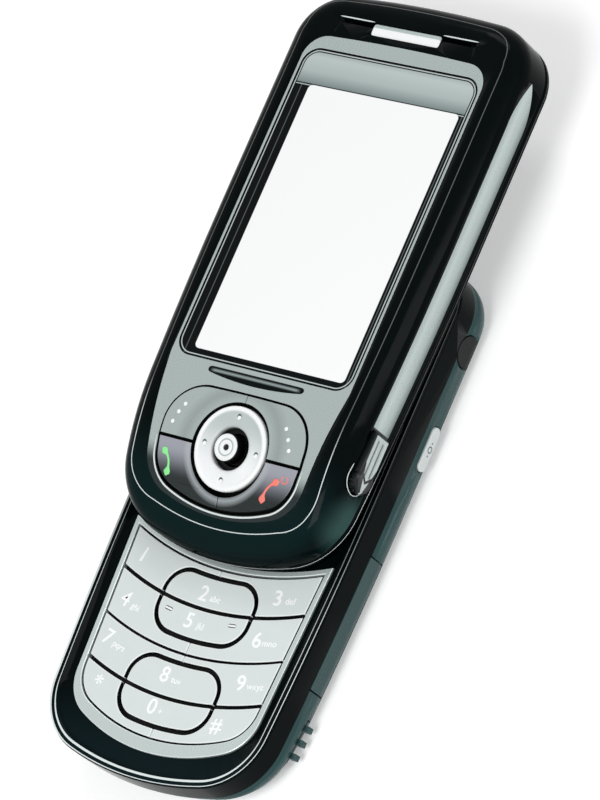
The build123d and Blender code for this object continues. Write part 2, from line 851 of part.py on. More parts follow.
# Assist spring: a flat hairpin of wire between the rail's pin and the carriage's pin
spring_z = (carriage_z + web_z) / 2
eye_radius = 0.8 + run_gap + spring_wire / 2
with BuildPart() as assist_spring:
    with BuildSketch(Plane.XY.offset(spring_z - spring_wire / 2)):
        with BuildLine():
            FilletPolyline(
                (rail_pin[0], rail_pin[1] + eye_radius),
                (spring_bow, rail_pin[1] + eye_radius + spring_lead),
                (spring_bow, carriage_pin[1] - eye_radius - spring_lead),
                (carriage_pin[0], carriage_pin[1] - eye_radius),
                radius=4,
            )
        trace(line_width=spring_wire)
        with Locations(rail_pin, carriage_pin):
            Circle(eye_radius + spring_wire / 2)
        with Locations(rail_pin, carriage_pin):
            Circle(eye_radius - spring_wire / 2, mode=Mode.SUBTRACT)
    extrude(amount=spring_wire)
finish(assist_spring, "assist_spring")

# Flat flexible cable, folded once between base and slider
flex_low_z = carriage_z + 0.25
flex_high_z = web_z - 0.3
fold_radius = (flex_high_z - flex_low_z) / 2
with BuildPart() as flex_cable:
    with BuildSketch(Plane.YZ.offset(flex_x - flex_width / 2)):
        with BuildLine():
            Line((flex_low_y, board_top + 0.3), (flex_low_y, flex_low_z - 0.5))
            JernArc((flex_low_y, flex_low_z - 0.5), (0, 1), 0.5, -90)
            Line((flex_low_y + 0.5, flex_low_z), (flex_fold_y, flex_low_z))
            JernArc((flex_fold_y, flex_low_z), (1, 0), fold_radius, 180)
            Line((flex_fold_y, flex_high_z), (flex_high_y + 0.5, flex_high_z))
            JernArc((flex_high_y + 0.5, flex_high_z), (-1, 0), 0.5, -90)
            Line((flex_high_y, flex_high_z + 0.5), (flex_high_y, slider_board_top))
        trace(line_width=flex_sheet)
    extrude(amount=flex_width)
finish(flex_cable, "flex_cable")

# Small screws that hold the rail in the slider's rear cover
with BuildPart() as slider_screws:
    with BuildSketch(Plane.XY.offset(web_z - 0.45)):
        with Locations(rail_screw_places):
            Circle(screw_head - 0.1)
    extrude(amount=0.45)
    with BuildSketch(Plane.XY.offset(web_z)):
        with Locations(rail_screw_places):
            Circle(screw_shank - 0.05)
    extrude(amount=rail_sheet + 0.7)
finish(slider_screws, "slider_screws")


def field_plan(grow=0.0, low_grow=0.0):
    """Plan of the number key field: a sagging top edge over a round lower end."""
    side = field_half + grow
    low_side = field_low_half + grow
    high = row_tops[0] + grow
    high_y = high + arc_drop(row_radius, side)
    low = field_low - grow - low_grow
    low_y = low + arc_drop(field_low_radius, low_side)
    with BuildSketch() as plan:
        with BuildLine():
            ThreePointArc((-side, high_y), (0, high), (side, high_y))
            Line((side, high_y), (low_side, low_y))
            ThreePointArc((low_side, low_y), (0, low), (-low_side, low_y))
            Line((-low_side, low_y), (-side, high_y))
        make_face()
        fillet(plan.vertices().group_by(Axis.Y)[0], field_corner + grow)
    return plan.sketch


def row_plan(row):
    """Plan of one row of number keys, between two arcs that sag to the middle."""
    high = row_tops[row] - row_gaps[row] / 2
    low = row_tops[row + 1] + row_gaps[row + 1] / 2
    reach = field_half + 1
    rise = arc_drop(row_radius, reach)
    with BuildSketch() as plan:
        with BuildLine():
            ThreePointArc((-reach, high + rise), (0, high), (reach, high + rise))
            Line((reach, high + rise), (reach, low + rise))
            ThreePointArc((reach, low + rise), (0, low), (-reach, low + rise))
            Line((-reach, low + rise), (-reach, high + rise))
        make_face()
    return plan.sketch


def oval_plan(high, grow):
    """Plan of the rounded shape that holds two middle keys."""
    side = oval_half + grow
    top = high + grow
    low = high - oval_length - grow
    top_rise = arc_drop(row_radius, side)
    with BuildSketch() as plan:
        with BuildLine():
            ThreePointArc((-side, top + top_rise), (0, top), (side, top + top_rise))
            Line((side, top + top_rise), (side, low + oval_sag))
            ThreePointArc((side, low + oval_sag), (0, low), (-side, low + oval_sag))
            Line((-side, low + oval_sag), (-side, top + top_rise))
        make_face()
        fillet(plan.vertices().group_by(Axis.Y)[0], oval_low_corner + grow)
        fillet(plan.vertices().group_by(Axis.Y)[-1], oval_top_corner + grow)
    return plan.sketch


# Number keys: middle keys fill two ovals, side keys fill the rest of each row
number_keys = [
    ("key_1", "key_2", "key_3"),
    ("key_4", "key_5", "key_6"),
    ("key_7", "key_8", "key_9"),
    ("key_star", "key_0", "key_hash"),
]
for row, names in enumerate(number_keys):
    oval_top = row_tops[row - row % 2] - oval_drop
    for name, side in zip(names, (-1, 0, 1)):
        with BuildPart() as number_key:
            with BuildSketch(Plane.XY.offset(number_key_base)):
                add(row_plan(row))
                add(field_plan(-field_gap), mode=Mode.INTERSECT)
                if side == 0:
                    add(oval_plan(oval_top, -oval_gap / 2), mode=Mode.INTERSECT)
                else:
                    add(oval_plan(oval_top, oval_gap / 2), mode=Mode.SUBTRACT)
                    with Locations((-side * body_width / 2, 0)):
                        Rectangle(body_width + split_line, base_length, mode=Mode.SUBTRACT)
            extrude(amount=number_key_thickness)
        finish(number_key, name)

# Ring that frames the number keys
with BuildPart() as keypad_frame:
    with BuildSketch(Plane.XY.offset(deck_under + 0.05)):
        add(field_plan(frame_width, frame_low_extra))
        add(field_plan(), mode=Mode.SUBTRACT)
    extrude(amount=deck_thickness + 0.3)
finish(keypad_frame, "keypad_frame")

# Base housing, front half: lip, deck, number key window and bosses for the screws
high_screw = (half - 7.6, base_high - 7.0)
low_screw = (half / 2, base_low + 4.8)
base_screw_places = [(side * x, y) for x, y in (high_screw, low_screw) for side in (-1, 1)]
port_low_y = port_y - port_cover_length / 2
port_high_y = port_y + port_cover_length / 2
port_floor_x = half - 2.1
port_recess = block(
    (port_floor_x, port_low_y - move_gap, port_z - port_cover_height / 2 - move_gap),
    (half + 2, port_high_y + move_gap, port_z + port_cover_height / 2 + move_gap),
)
with BuildPart() as jack_recess:
    with BuildSketch(Plane.YZ.offset(half - 1.4)):
        with Locations((jack_y, jack_z)):
            Circle(jack_cover_radius + move_gap)
    extrude(amount=3)
with BuildPart() as jack_opening:
    with BuildSketch(Plane.YZ.offset(half - 3)):
        with Locations((jack_y, jack_z)):
            Circle(jack_nose + 0.1)
    extrude(amount=3)

with BuildPart() as base_front_housing:
    add(base_body)
    add(block((-half - 1, base_low - 1, -1), (half + 1, base_high + 1, base_split)), mode=Mode.SUBTRACT)
    add(prism(base_plan(lip_width), deck_z, base_height + 1), mode=Mode.SUBTRACT)
    add(prism(base_plan(wall), base_split - 1, deck_under), mode=Mode.SUBTRACT)
    with BuildSketch(Plane.XY.offset(deck_under - 1)):
        add(field_plan(frame_width + fit_gap, frame_low_extra))
    extrude(amount=deck_thickness + 2, mode=Mode.SUBTRACT)
    with BuildSketch(Plane.XY.offset(deck_under)):
        with Locations((flex_x, flex_low_y)):
            Rectangle(flex_width + 1.4, 1.8)
    extrude(amount=deck_thickness, mode=Mode.SUBTRACT)
    with BuildSketch(Plane.XY.offset(deck_under)):
        with Locations(base_screw_places):
            Circle(2.0)
    extrude(amount=tray_top + fit_gap - deck_under)
    with BuildSketch(Plane.XY.offset(tray_top)):
        with Locations(base_screw_places):
            Circle(screw_shank + 0.05)
    extrude(amount=1.4, mode=Mode.SUBTRACT)
    with BuildSketch(Plane.XY.offset(deck_z)):
        with Locations(stake_places):
            Circle(1.0)
    extrude(amount=carriage_sheet - 0.1)
    add(port_recess, mode=Mode.SUBTRACT)
    add(jack_opening.part, mode=Mode.SUBTRACT)
    add(jack_recess.part, mode=Mode.SUBTRACT)
finish(base_front_housing, "base_front_housing")

# Key sheet, switch sheet and main board under the number keys
key_mat_base = board_top + 0.15
with BuildPart() as key_mat:
    with BuildSketch(Plane.XY.offset(key_mat_base)):
        add(field_plan(0.5))
    extrude(amount=0.5)
finish(key_mat, "key_mat")

with BuildPart() as dome_sheet:
    with BuildSketch(Plane.XY.offset(board_top)):
        add(field_plan(0.2))
    extrude(amount=0.15)
finish(dome_sheet, "dome_sheet")

with BuildPart() as main_board:
    with BuildSketch(Plane.XY.offset(board_base)):
        add(base_plan(wall + 1))
        with Locations(base_screw_places):
            Circle(2.4, mode=Mode.SUBTRACT)
        with Locations((flex_x, flex_low_y)):
            Rectangle(flex_width + 1, 1.4, mode=Mode.SUBTRACT)
    extrude(amount=board_thickness)
finish(main_board, "main_board")

# Battery cover: the lower back, with a raised grip at each side that carries three ribs
ear_low_y = -38.0
ear_high_y = -30.6
ear_top = 3.0
ear_depth = 1.2
cover_travel = 5.0
antenna_low = base_low + 3.8
antenna_z = tray_top - 0.9
cover_zone = block((-half - 1, base_low - 1, -1), (half + 1, cover_top_y, cover_edge))
with BuildPart() as ear_zone:
    add(block((-half - 1, ear_low_y, -1), (half + 1, ear_high_y, ear_top)))
    add(prism(base_plan(ear_depth), -2, base_height), mode=Mode.SUBTRACT)
with BuildPart() as battery_cover:
    add(base_body)
    add(cover_zone.fuse(ear_zone.part), mode=Mode.INTERSECT)
    add(prism(base_plan(2.2), cover_skin, base_height), mode=Mode.SUBTRACT)
    for rib in range(3):
        rib_y = ear_high_y - 1.2 - 2.5 * rib
        rib_x = side_half(rib_y)
        for side in (-1, 1):
            add(
                block(
                    (min(side * (rib_x - 0.8), side * (rib_x + grip_rib_stand)), rib_y - 0.5, 1.4),
                    (max(side * (rib_x - 0.8), side * (rib_x + grip_rib_stand)), rib_y + 0.5, 2.8),
                )
            )
finish(battery_cover, "battery_cover")

# Base housing, rear half: a tray with pockets for the battery and the parts under the board
bay_half = battery_width / 2 + 0.3
bay_low_y = battery_top_y - battery_length - 0.3
bay_high_y = battery_top_y + 2.0
bay_ceiling = tray_top - 0.8
camera_key_z = 3.5
camera_key_height = 2.2
with BuildPart() as ear_recess:
    add(
        block(
            (-half - 1, ear_low_y - cover_travel - 0.3, -1),
            (half + 1, ear_high_y + 0.3, ear_top + 0.3),
        )
    )
    add(prism(base_plan(ear_depth + 0.3), -2, base_height), mode=Mode.SUBTRACT)
with BuildPart() as base_rear_housing:
    add(base_body)
    add(block((-half - 1, base_low - 1, base_split), (half + 1, base_high + 1, 20)), mode=Mode.SUBTRACT)
    add(prism(base_plan(wall + fit_gap), base_split, tray_top))
    add(
        block((-half - 1, base_low - 1, -1), (half + 1, cover_top_y + 0.3, cover_edge + 0.3)),
        mode=Mode.SUBTRACT,
    )
    add(ear_recess.part, mode=Mode.SUBTRACT)
    add(block((-bay_half, bay_low_y, 0), (bay_half, bay_high_y, bay_ceiling)), mode=Mode.SUBTRACT)
    add(block((-4.8, camera_y - 4.8, 1.0), (4.8, camera_y + 4.8, tray_top)), mode=Mode.SUBTRACT)
    add(round_bar(0, camera_y, 3.0, -1, 2), mode=Mode.SUBTRACT)
    add(round_bar(0, camera_y, 4.1, -1, 0.7), mode=Mode.SUBTRACT)
    add(
        block((speaker_x - 6.3, speaker_y - 4.8, 1.2), (speaker_x + 6.3, speaker_y + 4.8, tray_top)),
        mode=Mode.SUBTRACT,
    )
    with BuildSketch(Plane.XY.offset(-1)):
        with Locations((speaker_x, speaker_y)):
            with GridLocations(0, 1.8, 1, 4):
                SlotOverall(8, 0.9)
    extrude(amount=3, mode=Mode.SUBTRACT)
    add(
        block((motor_x - 5.3, motor_y - 2.3, 2.4), (motor_x + 5.8, motor_y + 2.3, tray_top)),
        mode=Mode.SUBTRACT,
    )
    add(
        block((jack_back - 0.3, jack_y - 2.7, 1.4), (half - 2.6, jack_y + 2.7, tray_top)),
        mode=Mode.SUBTRACT,
    )
    add(jack_opening.part, mode=Mode.SUBTRACT)
    add(jack_recess.part, mode=Mode.SUBTRACT)
    add(block((bay_half + 0.3, port_y - 6.3, 3.0), (half - 2, port_y + 6.3, tray_top)), mode=Mode.SUBTRACT)
    add(port_recess, mode=Mode.SUBTRACT)
    add(
        block(
            (-antenna_width / 2 - 0.3, antenna_low - 0.3, antenna_z - 0.1),
            (antenna_width / 2 + 0.3, antenna_low + antenna_length + 0.3, tray_top),
        ),
        mode=Mode.SUBTRACT,
    )
    with BuildSketch(Plane.YZ.offset(half - 1.9)):
        with Locations((camera_key_y, camera_key_z)):
            SlotOverall(camera_key_length + 2 * key_gap, camera_key_height + 2 * key_gap)
    extrude(amount=3, mode=Mode.SUBTRACT)
    with BuildSketch(Plane.XY.offset(-1)):
        with Locations(base_screw_places):
            Circle(screw_shank + 0.1)
    extrude(amount=tray_top + 2, mode=Mode.SUBTRACT)
    for x, y in base_screw_places:
        seat_z = 2.2 if y > 0 else 4.4
        add(round_bar(x, y, screw_head + 0.1, -1, seat_z), mode=Mode.SUBTRACT)
finish(base_rear_housing, "base_rear_housing")

with BuildPart() as base_screws:
    for x, y in base_screw_places:
        seat_z = 2.2 if y > 0 else 4.4
        add(round_bar(x, y, screw_head, seat_z - 1.2, seat_z))
        add(round_bar(x, y, screw_shank, seat_z, board_top + 0.2))
finish(base_screws, "base_screws")

# Battery with its contacts, and the card holder above it
with BuildPart() as battery:
    with BuildSketch(Plane.XY.offset(battery_base)):
        with Locations((0, battery_y)):
            RectangleRounded(battery_width, battery_length, 2.0)
    extrude(amount=battery_thickness)
finish(battery, "battery")

with BuildPart() as battery_contacts:
    add(block((-5, battery_top_y + 0.2, 1.9), (5, bay_high_y - 0.1, bay_ceiling - 0.1)))
finish(battery_contacts, "battery_contacts")

card_top = bay_ceiling
card_x = 4 - battery_width / 2
card_y = battery_top_y - 5
with BuildPart() as sim_holder:
    add(block((card_x, card_y - card_length, card_top - 0.9), (card_x + card_width, card_y, card_top)))
    add(
        block(
            (card_x + 0.5, card_y - card_length, card_top - 0.9),
            (card_x + card_width - 0.5, card_y - 0.5, card_top - 0.5),
        ),
        mode=Mode.SUBTRACT,
    )
finish(sim_holder, "sim_holder")

# Sockets at the right side
with BuildPart() as headset_jack:
    add(block((jack_back, jack_y - 2.4, 1.6), (half - 2.7, jack_y + 2.4, board_base - 0.1)))
    with BuildSketch(Plane.YZ.offset(half - 2.7)):
        with Locations((jack_y, jack_z)):
            Circle(jack_nose)
    extrude(amount=1.0)
    with BuildSketch(Plane.YZ.offset(jack_mouth)):
        with Locations((jack_y, jack_z)):
            Circle(jack_bore)
    extrude(amount=-jack_depth, mode=Mode.SUBTRACT)
    with BuildSketch(Plane.YZ.offset(jack_mouth - jack_depth)):
        with Locations((jack_y, jack_z)):
            Circle(jack_bore + 0.4)
    extrude(amount=-jack_chamber, mode=Mode.SUBTRACT)
finish(headset_jack, "headset_jack")

with BuildPart() as io_connector:
    add(block((bay_half + 0.4, port_y - 6, 3.2), (port_floor_x - 0.1, port_y + 6, board_base - 0.1)))
    add(block((bay_half + 1.4, port_y - 5.5, 3.8), (port_floor_x, port_y + 5.5, 6.0)), mode=Mode.SUBTRACT)
finish(io_connector, "io_connector")

# Camera, sound and vibration
with BuildPart() as camera_module:
    add(block((-4.5, camera_y - 4.5, 1.1), (4.5, camera_y + 4.5, board_base - 0.1)))
finish(camera_module, "camera_module")

with BuildPart() as camera_window:
    add(round_bar(0, camera_y, 4.0, 0.05, 0.65))
finish(camera_window, "camera_window")

with BuildPart() as loudspeaker:
    with BuildSketch(Plane.XY.offset(1.3)):
        with Locations((speaker_x, speaker_y)):
            RectangleRounded(12, 9, 1.5)
    extrude(amount=4)
finish(loudspeaker, "loudspeaker")

with BuildPart() as vibration_motor:
    with BuildSketch(Plane.YZ.offset(motor_x - 5)):
        with Locations((motor_y, 4.5)):
            Circle(2.0)
    extrude(amount=8)
    with BuildSketch(Plane.YZ.offset(motor_x + 3)):
        with Locations((motor_y, 4.5)):
            Circle(0.5)
    extrude(amount=2.5)
    with BuildSketch(Plane.YZ.offset(motor_x + 3.5)):
        with Locations((motor_y, 4.5)):
            Circle(1.9)
        with Locations((motor_y, 6.5)):
            Rectangle(6, 4, mode=Mode.SUBTRACT)
    extrude(amount=2)
finish(vibration_motor, "vibration_motor")

with BuildPart() as microphone:
    add(round_bar(0, base_low + 4.6, 1.6, board_top, deck_under - 0.05))
finish(microphone, "microphone")

with BuildPart() as antenna:
    add(
        block(
            (-antenna_width / 2, antenna_low, antenna_z),
            (antenna_width / 2, antenna_low + antenna_length, board_base - 0.1),
        )
    )
    add(
        block(
            (1 - antenna_width / 2, antenna_low + 1, antenna_z + 0.6),
            (antenna_width / 2 - 1, antenna_low + antenna_length - 1, board_base),
        ),
        mode=Mode.SUBTRACT,
    )
finish(antenna, "antenna")

# Camera key, and the covers over the two sockets
with BuildPart() as camera_key:
    with BuildSketch(Plane.YZ.offset(half - 1.4)):
        with Locations((camera_key_y, camera_key_z)):
            SlotOverall(camera_key_length, camera_key_height)
    extrude(amount=1.7)
finish(camera_key, "camera_key")

with BuildPart() as jack_cover:
    with BuildSketch(Plane.YZ.offset(half - 1.1)):
        with Locations((jack_y, jack_z)):
            Circle(jack_cover_radius)
    extrude(amount=2)
    add(base_body, mode=Mode.INTERSECT)
finish(jack_cover, "jack_cover")

with BuildPart() as port_cover:
    add(
        block(
            (port_floor_x + 0.3, port_low_y, port_z - port_cover_height / 2),
            (half + 2, port_high_y, port_z + port_cover_height / 2),
        )
    )
    add(base_body, mode=Mode.INTERSECT)
finish(port_cover, "port_cover")
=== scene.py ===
"""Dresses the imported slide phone: surfaces, finishes, figures, floor, light and camera."""

import json
from math import cos, pi, radians, sin

import bmesh
import bpy
import numpy as np
from mathutils import Matrix, Vector


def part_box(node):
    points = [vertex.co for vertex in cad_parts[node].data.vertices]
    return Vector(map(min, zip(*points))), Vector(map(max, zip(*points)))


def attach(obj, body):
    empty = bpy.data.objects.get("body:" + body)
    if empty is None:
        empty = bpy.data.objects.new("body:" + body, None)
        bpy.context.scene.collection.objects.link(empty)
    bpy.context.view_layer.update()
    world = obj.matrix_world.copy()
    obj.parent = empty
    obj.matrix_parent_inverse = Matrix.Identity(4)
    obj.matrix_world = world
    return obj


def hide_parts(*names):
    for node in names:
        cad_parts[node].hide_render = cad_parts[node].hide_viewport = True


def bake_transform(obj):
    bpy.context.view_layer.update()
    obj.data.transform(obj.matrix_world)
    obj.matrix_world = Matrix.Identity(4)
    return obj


bl_info = {
    "name": "Slide phone",
    "version": (1, 0, 0),
    "blender": (4, 5, 0),
    "location": "3D View > Sidebar > Phone",
    "description": "Dresses a slide phone that is drawn slid open",
    "category": "Object",
}

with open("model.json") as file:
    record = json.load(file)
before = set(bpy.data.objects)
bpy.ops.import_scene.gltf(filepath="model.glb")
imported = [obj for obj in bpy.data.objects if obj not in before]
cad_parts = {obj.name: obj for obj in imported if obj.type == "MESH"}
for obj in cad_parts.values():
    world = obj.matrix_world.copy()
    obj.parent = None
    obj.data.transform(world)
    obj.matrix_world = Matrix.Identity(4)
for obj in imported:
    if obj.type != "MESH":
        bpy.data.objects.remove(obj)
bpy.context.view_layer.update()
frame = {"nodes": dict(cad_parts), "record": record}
mm = 0.001

# Lines of the solids that the added surfaces follow, in metres
half_width = 0.0242
base_low, base_high, base_top = -0.0498, 0.0498, 0.0111
slider_low, slider_high, slider_foot = -0.0111, 0.0895, 0.0115
face_top = 0.0225
chin_radius = 0.050
bend_y = 0.0159
edge_round = 0.0042
side_run, side_draw = 0.0598, 0.0023
side_radius = (side_run**2 + side_draw**2) / (2 * side_draw)
nav_y = 0.0058
nav_tilt = radians(11.654)
nav_z = face_top - chin_radius + chin_radius * cos(nav_tilt)
row_radius = 0.0535

# Places of painted and added detail, in metres; an edge is middle X and Y, half-width, half-length and corner
bow_top, bow_half = 0.01860, 0.0101
lens_edge = (0, 0.04845, 0.01845, 0.0290, 0.0032)
screen_edge = (0.0010, 0.04585, 0.01585, 0.02485, 0.0009)
display_middle, display_half = 0.0005, 0.01691
head_band, band_line = 0.0066, 0.00029
paint_split = 0.00625
dimple = 0.00545
dimples = ((dimple, 0), (-dimple, 0), (0, dimple), (0, -dimple))
upward = np.array([[0.0, 0.0, 1.0]])

# Shades that several finishes share
# Black that is the bow's own colour and also painted shade on the side key and at the strip's lower end
black_and_gap_shade = (0.002, 0.004, 0.004)
# Black of the painted shade on walls and in gaps
shade_black = (0.0015, 0.002, 0.002)
mat_black = (0.002, 0.0025, 0.0025)
chin_dark = (0.004, 0.011, 0.012)
steel = (0.45, 0.46, 0.48)

# Key, figure, letters and the figure's place in millimetres
NUMBER_KEYS = [
    ("key_1", "1", "", -16.28, -12.87), ("key_2", "2", "abc", -1.4, -16.49),
    ("key_3", "3", "def", 13.02, -13.89), ("key_4", "4", "ghi", -16.02, -20.96),
    ("key_5", "5", "jkl", -2.02, -21.58), ("key_6", "6", "mno", 12.48, -21.64),
    ("key_7", "7", "pqrs", -16.28, -28.04), ("key_8", "8", "tuv", -2.12, -31.46),
    ("key_9", "9", "wxyz", 12.96, -29.28), ("key_star", "*", "", -14.5, -36.05),
    ("key_0", "0", "+", -1.94, -37.23), ("key_hash", "#", "", 11.68, -37.16),
]


# ---- colours and sizes that a user would change ----


class PhoneColours(bpy.types.PropertyGroup):
    """Colours of the phone's finishes."""

    shell: bpy.props.FloatVectorProperty(
        name="Shell", description="Gloss lacquer of both front halves", subtype="COLOR",
        default=(0.0007, 0.0020, 0.0022), min=0, max=1,
    )
    rear: bpy.props.FloatVectorProperty(
        name="Rear", description="Lacquer of the rear half of the base", subtype="COLOR",
        default=(0.030, 0.068, 0.070), min=0, max=1,
    )
    fascia: bpy.props.FloatVectorProperty(
        name="Fascia", description="Metallic paint round the lens and the upper keys", subtype="COLOR",
        default=(0.36, 0.42, 0.41), min=0, max=1,
    )
    silver: bpy.props.FloatVectorProperty(
        name="Silver", description="Silver paint of frame and side key", subtype="COLOR",
        default=(0.50, 0.57, 0.56), min=0, max=1,
    )
    # Colour of the painted highlights: the bright beads along edges and the lighter softened edges
    bright: bpy.props.FloatVectorProperty(
        name="Bright line", description="Thin bright edges and lines", subtype="COLOR",
        default=(0.72, 0.79, 0.78), min=0, max=1,
    )
    keys: bpy.props.FloatVectorProperty(
        name="Keys", description="Satin plastic of the number keys", subtype="COLOR",
        default=(0.66, 0.72, 0.71), min=0, max=1,
    )
    screen: bpy.props.FloatVectorProperty(
        name="Screen", description="Blank screen", subtype="COLOR", default=(0.95, 0.96, 0.96), min=0, max=1,
    )
    call: bpy.props.FloatVectorProperty(
        name="Call mark", description="Handset mark of the call key", subtype="COLOR",
        default=(0.25, 0.80, 0.28), min=0, max=1,
    )
    hang_up: bpy.props.FloatVectorProperty(
        name="End mark", description="Handset mark of the end key", subtype="COLOR",
        default=(0.85, 0.20, 0.16), min=0, max=1,
    )


class PhoneSizes(bpy.types.PropertyGroup):
    """Sizes of the detail that Blender adds."""

    key_round: bpy.props.FloatProperty(
        name="Key edge", description="Round along the upper edge of the keys", default=0.00016,
        min=0.00005, max=0.0005, subtype="DISTANCE", unit="LENGTH",
    )
    # Half-width of the bright beads that are painted highlights
    line_width: bpy.props.FloatProperty(
        name="Line", description="Half-width of the thin bright lines", default=0.00011,
        min=0.00003, max=0.0005, subtype="DISTANCE", unit="LENGTH",
    )
    figure_height: bpy.props.FloatProperty(
        name="Figure height", description="Height of the figures on the keys", default=0.0027,
        min=0.001, max=0.005, subtype="DISTANCE", unit="LENGTH",
    )
    figure_relief: bpy.props.FloatProperty(
        name="Figure relief", description="How far the figures stand up", default=0.00003,
        min=0.00001, max=0.0002, subtype="DISTANCE", unit="LENGTH",
    )


def colours():
    """The scene's colour settings."""
    return bpy.context.scene.phone_colours


def sizes():
    """The scene's size settings."""
    return bpy.context.scene.phone_sizes


# ---- finishes ----


def add_node(tree, kind, inputs, out=0, **settings):
    """Output of a new node with its settings made; an input is a value or the output of another node."""
    node = tree.nodes.new("ShaderNode" + kind)
    for key, value in settings.items():
        setattr(node, key, value)
    for key, value in inputs.items():
        if hasattr(value, "node"):
            tree.links.new(value, node.inputs[key])
        else:
            node.inputs[key].default_value = value
    return node.outputs[out]


def lifted(colour, by):
    """A colour made lighter by a factor, at most white."""
    return tuple(min(c * by, 1) for c in colour)


class Finish:
    """A node material with a Principled surface, and short names for the nodes that it uses."""

    def __init__(self, name):
        self.material = bpy.data.materials.new(name)
        self.material.use_nodes = True
        self.tree = self.material.node_tree
        self.surface = self.tree.nodes["Principled BSDF"].inputs

    def link(self, name, socket):
        """Links an input of the surface."""
        self.tree.links.new(socket, self.surface[name])

    def node(self, kind, inputs, out=0, **settings):
        """Output of a new node in this material."""
        return add_node(self.tree, kind, inputs, out, **settings)

    def place(self, scale=(1, 1, 1), shift=(0, 0, 0), turn=(0, 0, 0)):
        """Object coordinates in metres, stretched, turned and moved."""
        source = self.node("TexCoord", {}, "Object")
        return self.node("Mapping", {"Vector": source, "Scale": scale, "Rotation": turn, "Location": shift})

    def noise(self, scale, detail, stretch=(1, 1, 1)):
        """Soft random field of so many grains a metre."""
        return self.node("TexNoise", {"Vector": self.place(stretch), "Scale": scale, "Detail": detail}, "Fac")

    def axis(self, name):
        """One Object coordinate."""
        return self.node("SeparateXYZ", {"Vector": self.place()}, name)

    def aside(self, name, middle=0.0):
        """How far one Object coordinate lies from a value, to either side."""
        return self.join("ABSOLUTE", self.join("SUBTRACT", self.axis(name), middle), 0)

    def tilt(self):
        """How far a face looks up: the Z part of its normal."""
        return self.node("SeparateXYZ", {"Vector": self.node("TexCoord", {}, "Normal")}, "Z")

    def nav_frame(self):
        """Object coordinates turned into the five-way key's own tilted plane."""
        along, rise = cos(nav_tilt), sin(nav_tilt)
        shift = (0, -nav_y * along - nav_z * rise, nav_y * rise - nav_z * along)
        return self.place(shift=shift, turn=(-nav_tilt, 0, 0))

    def nav_reach(self, across=0.0, up=0.0):
        """Distance in the five-way key's plane from a place on it."""
        flat = self.vector("MULTIPLY", self.nav_frame(), (1, 1, 0))
        return self.vector("LENGTH", self.vector("SUBTRACT", flat, (across, up, 0)))

    def scaled(self, value, low_in, high_in, low_out=0.0, high_out=1.0, smooth=False):
        """A value carried from one span to another, evenly or smoothly."""
        spans = {"Value": value, "From Min": low_in, "From Max": high_in, "To Min": low_out, "To Max": high_out}
        return self.node("MapRange", spans, interpolation_type="SMOOTHSTEP" if smooth else "LINEAR")

    def past(self, value, edge, soft=0.00004):
        """Nought below a value and one above it, with a soft step."""
        return self.scaled(value, edge - soft, edge + soft)

    def short_of(self, value, edge, soft=0.00004):
        """One below a value and nought above it, with a soft step."""
        return self.scaled(value, edge - soft, edge + soft, 1, 0)

    def band(self, value, low, high, soft=0.00004):
        """One between two values and nought outside them, with soft ends."""
        return self.join("MINIMUM", self.past(value, low, soft), self.short_of(value, high, soft))

    def join(self, kind, one, other):
        """Two values, or a value and a number, put together by a Math node."""
        return self.node("Math", {0: one, 1: other}, operation=kind)

    def vector(self, kind, one, other=(0, 0, 0)):
        """A Vector Math node over a vector and a fixed vector."""
        out = "Value" if kind == "LENGTH" else "Vector"
        return self.node("VectorMath", {0: one, 1: other}, out, operation=kind)

    def reach(self, x, y):
        """Distance in plan from a point."""
        return self.vector("LENGTH", self.place((1, 1, 0), (-x, -y, 0)))

    def past_edge(self, x, y, half_x, half_y, corner):
        """Distance beyond a round-cornered rectangle in plan, below nought inside it: the length of
        what is left of the point's distance from the middle past the corners' centres, less the radius."""
        moved = self.vector("ABSOLUTE", self.place((1, 1, 0), (-x, -y, 0)))
        past = self.vector("SUBTRACT", moved, (half_x - corner, half_y - corner, 0))
        return self.join("SUBTRACT", self.vector("LENGTH", self.vector("MAXIMUM", past)), corner)

    def blend(self, factor, low, high):
        """Two colours mixed by a factor; either may be a colour or a socket."""
        low, high = (c if hasattr(c, "node") else (*c, 1) for c in (low, high))
        return self.node("Mix", {0: factor, 6: low, 7: high}, 2, data_type="RGBA")

    def cloud(self, colour, lift, scale, detail, stretch=(1, 1, 1)):
        """A colour that wanders towards a lighter one over a noise field."""
        return self.blend(self.noise(scale, detail, stretch), colour, lifted(colour, lift))

    def flaked(self, colour, share, light):
        """A colour with some of a lighter one in fine flakes."""
        return self.blend(self.scaled(self.noise(14000, 2), 0, 1, 0, share), colour, light)

    def curve(self, value, stops):
        """A colour ramp over a value between nought and one."""
        ramp = self.node("ValToRGB", {"Fac": value})
        elements = ramp.node.color_ramp.elements
        while len(elements) < len(stops):
            elements.new(0.5)
        for element, (place, colour) in zip(elements, stops):
            element.position = place
            element.color = (*colour, 1)
        return ramp

    def grain(self, scale, detail, depth, strength):
        """Bump of so many metres over a noise field."""
        height = self.noise(scale, detail)
        self.link("Normal", self.node("Bump", {"Height": height, "Distance": depth, "Strength": strength}))

    def orange_peel(self):
        """The faint wave of sprayed lacquer."""
        self.grain(1500, 2, 0.00002, 0.04)

    def done(self, colour, low, high, scale=5000, detail=4, stretch=(1, 1, 1), spec=0.5, metal=0.0):
        """The material, with its colour linked and its roughness wandering between two values."""
        self.link("Base Color", colour)
        self.link("Roughness", self.scaled(self.noise(scale, detail, stretch), 0.3, 0.7, low, high))
        self.surface["Specular IOR Level"].default_value = spec
        self.surface["Metallic"].default_value = metal
        return self.material


def lacquer(name, colour, lift=1.8, rough=0.12, spec=0.03):
    """Gloss lacquer: cloudy tone, faint orange peel."""
    finish = Finish(name)
    finish.orange_peel()
    return finish.done(finish.cloud(colour, lift, 90, 4), rough, rough + 0.05, 700, 5, spec=spec)


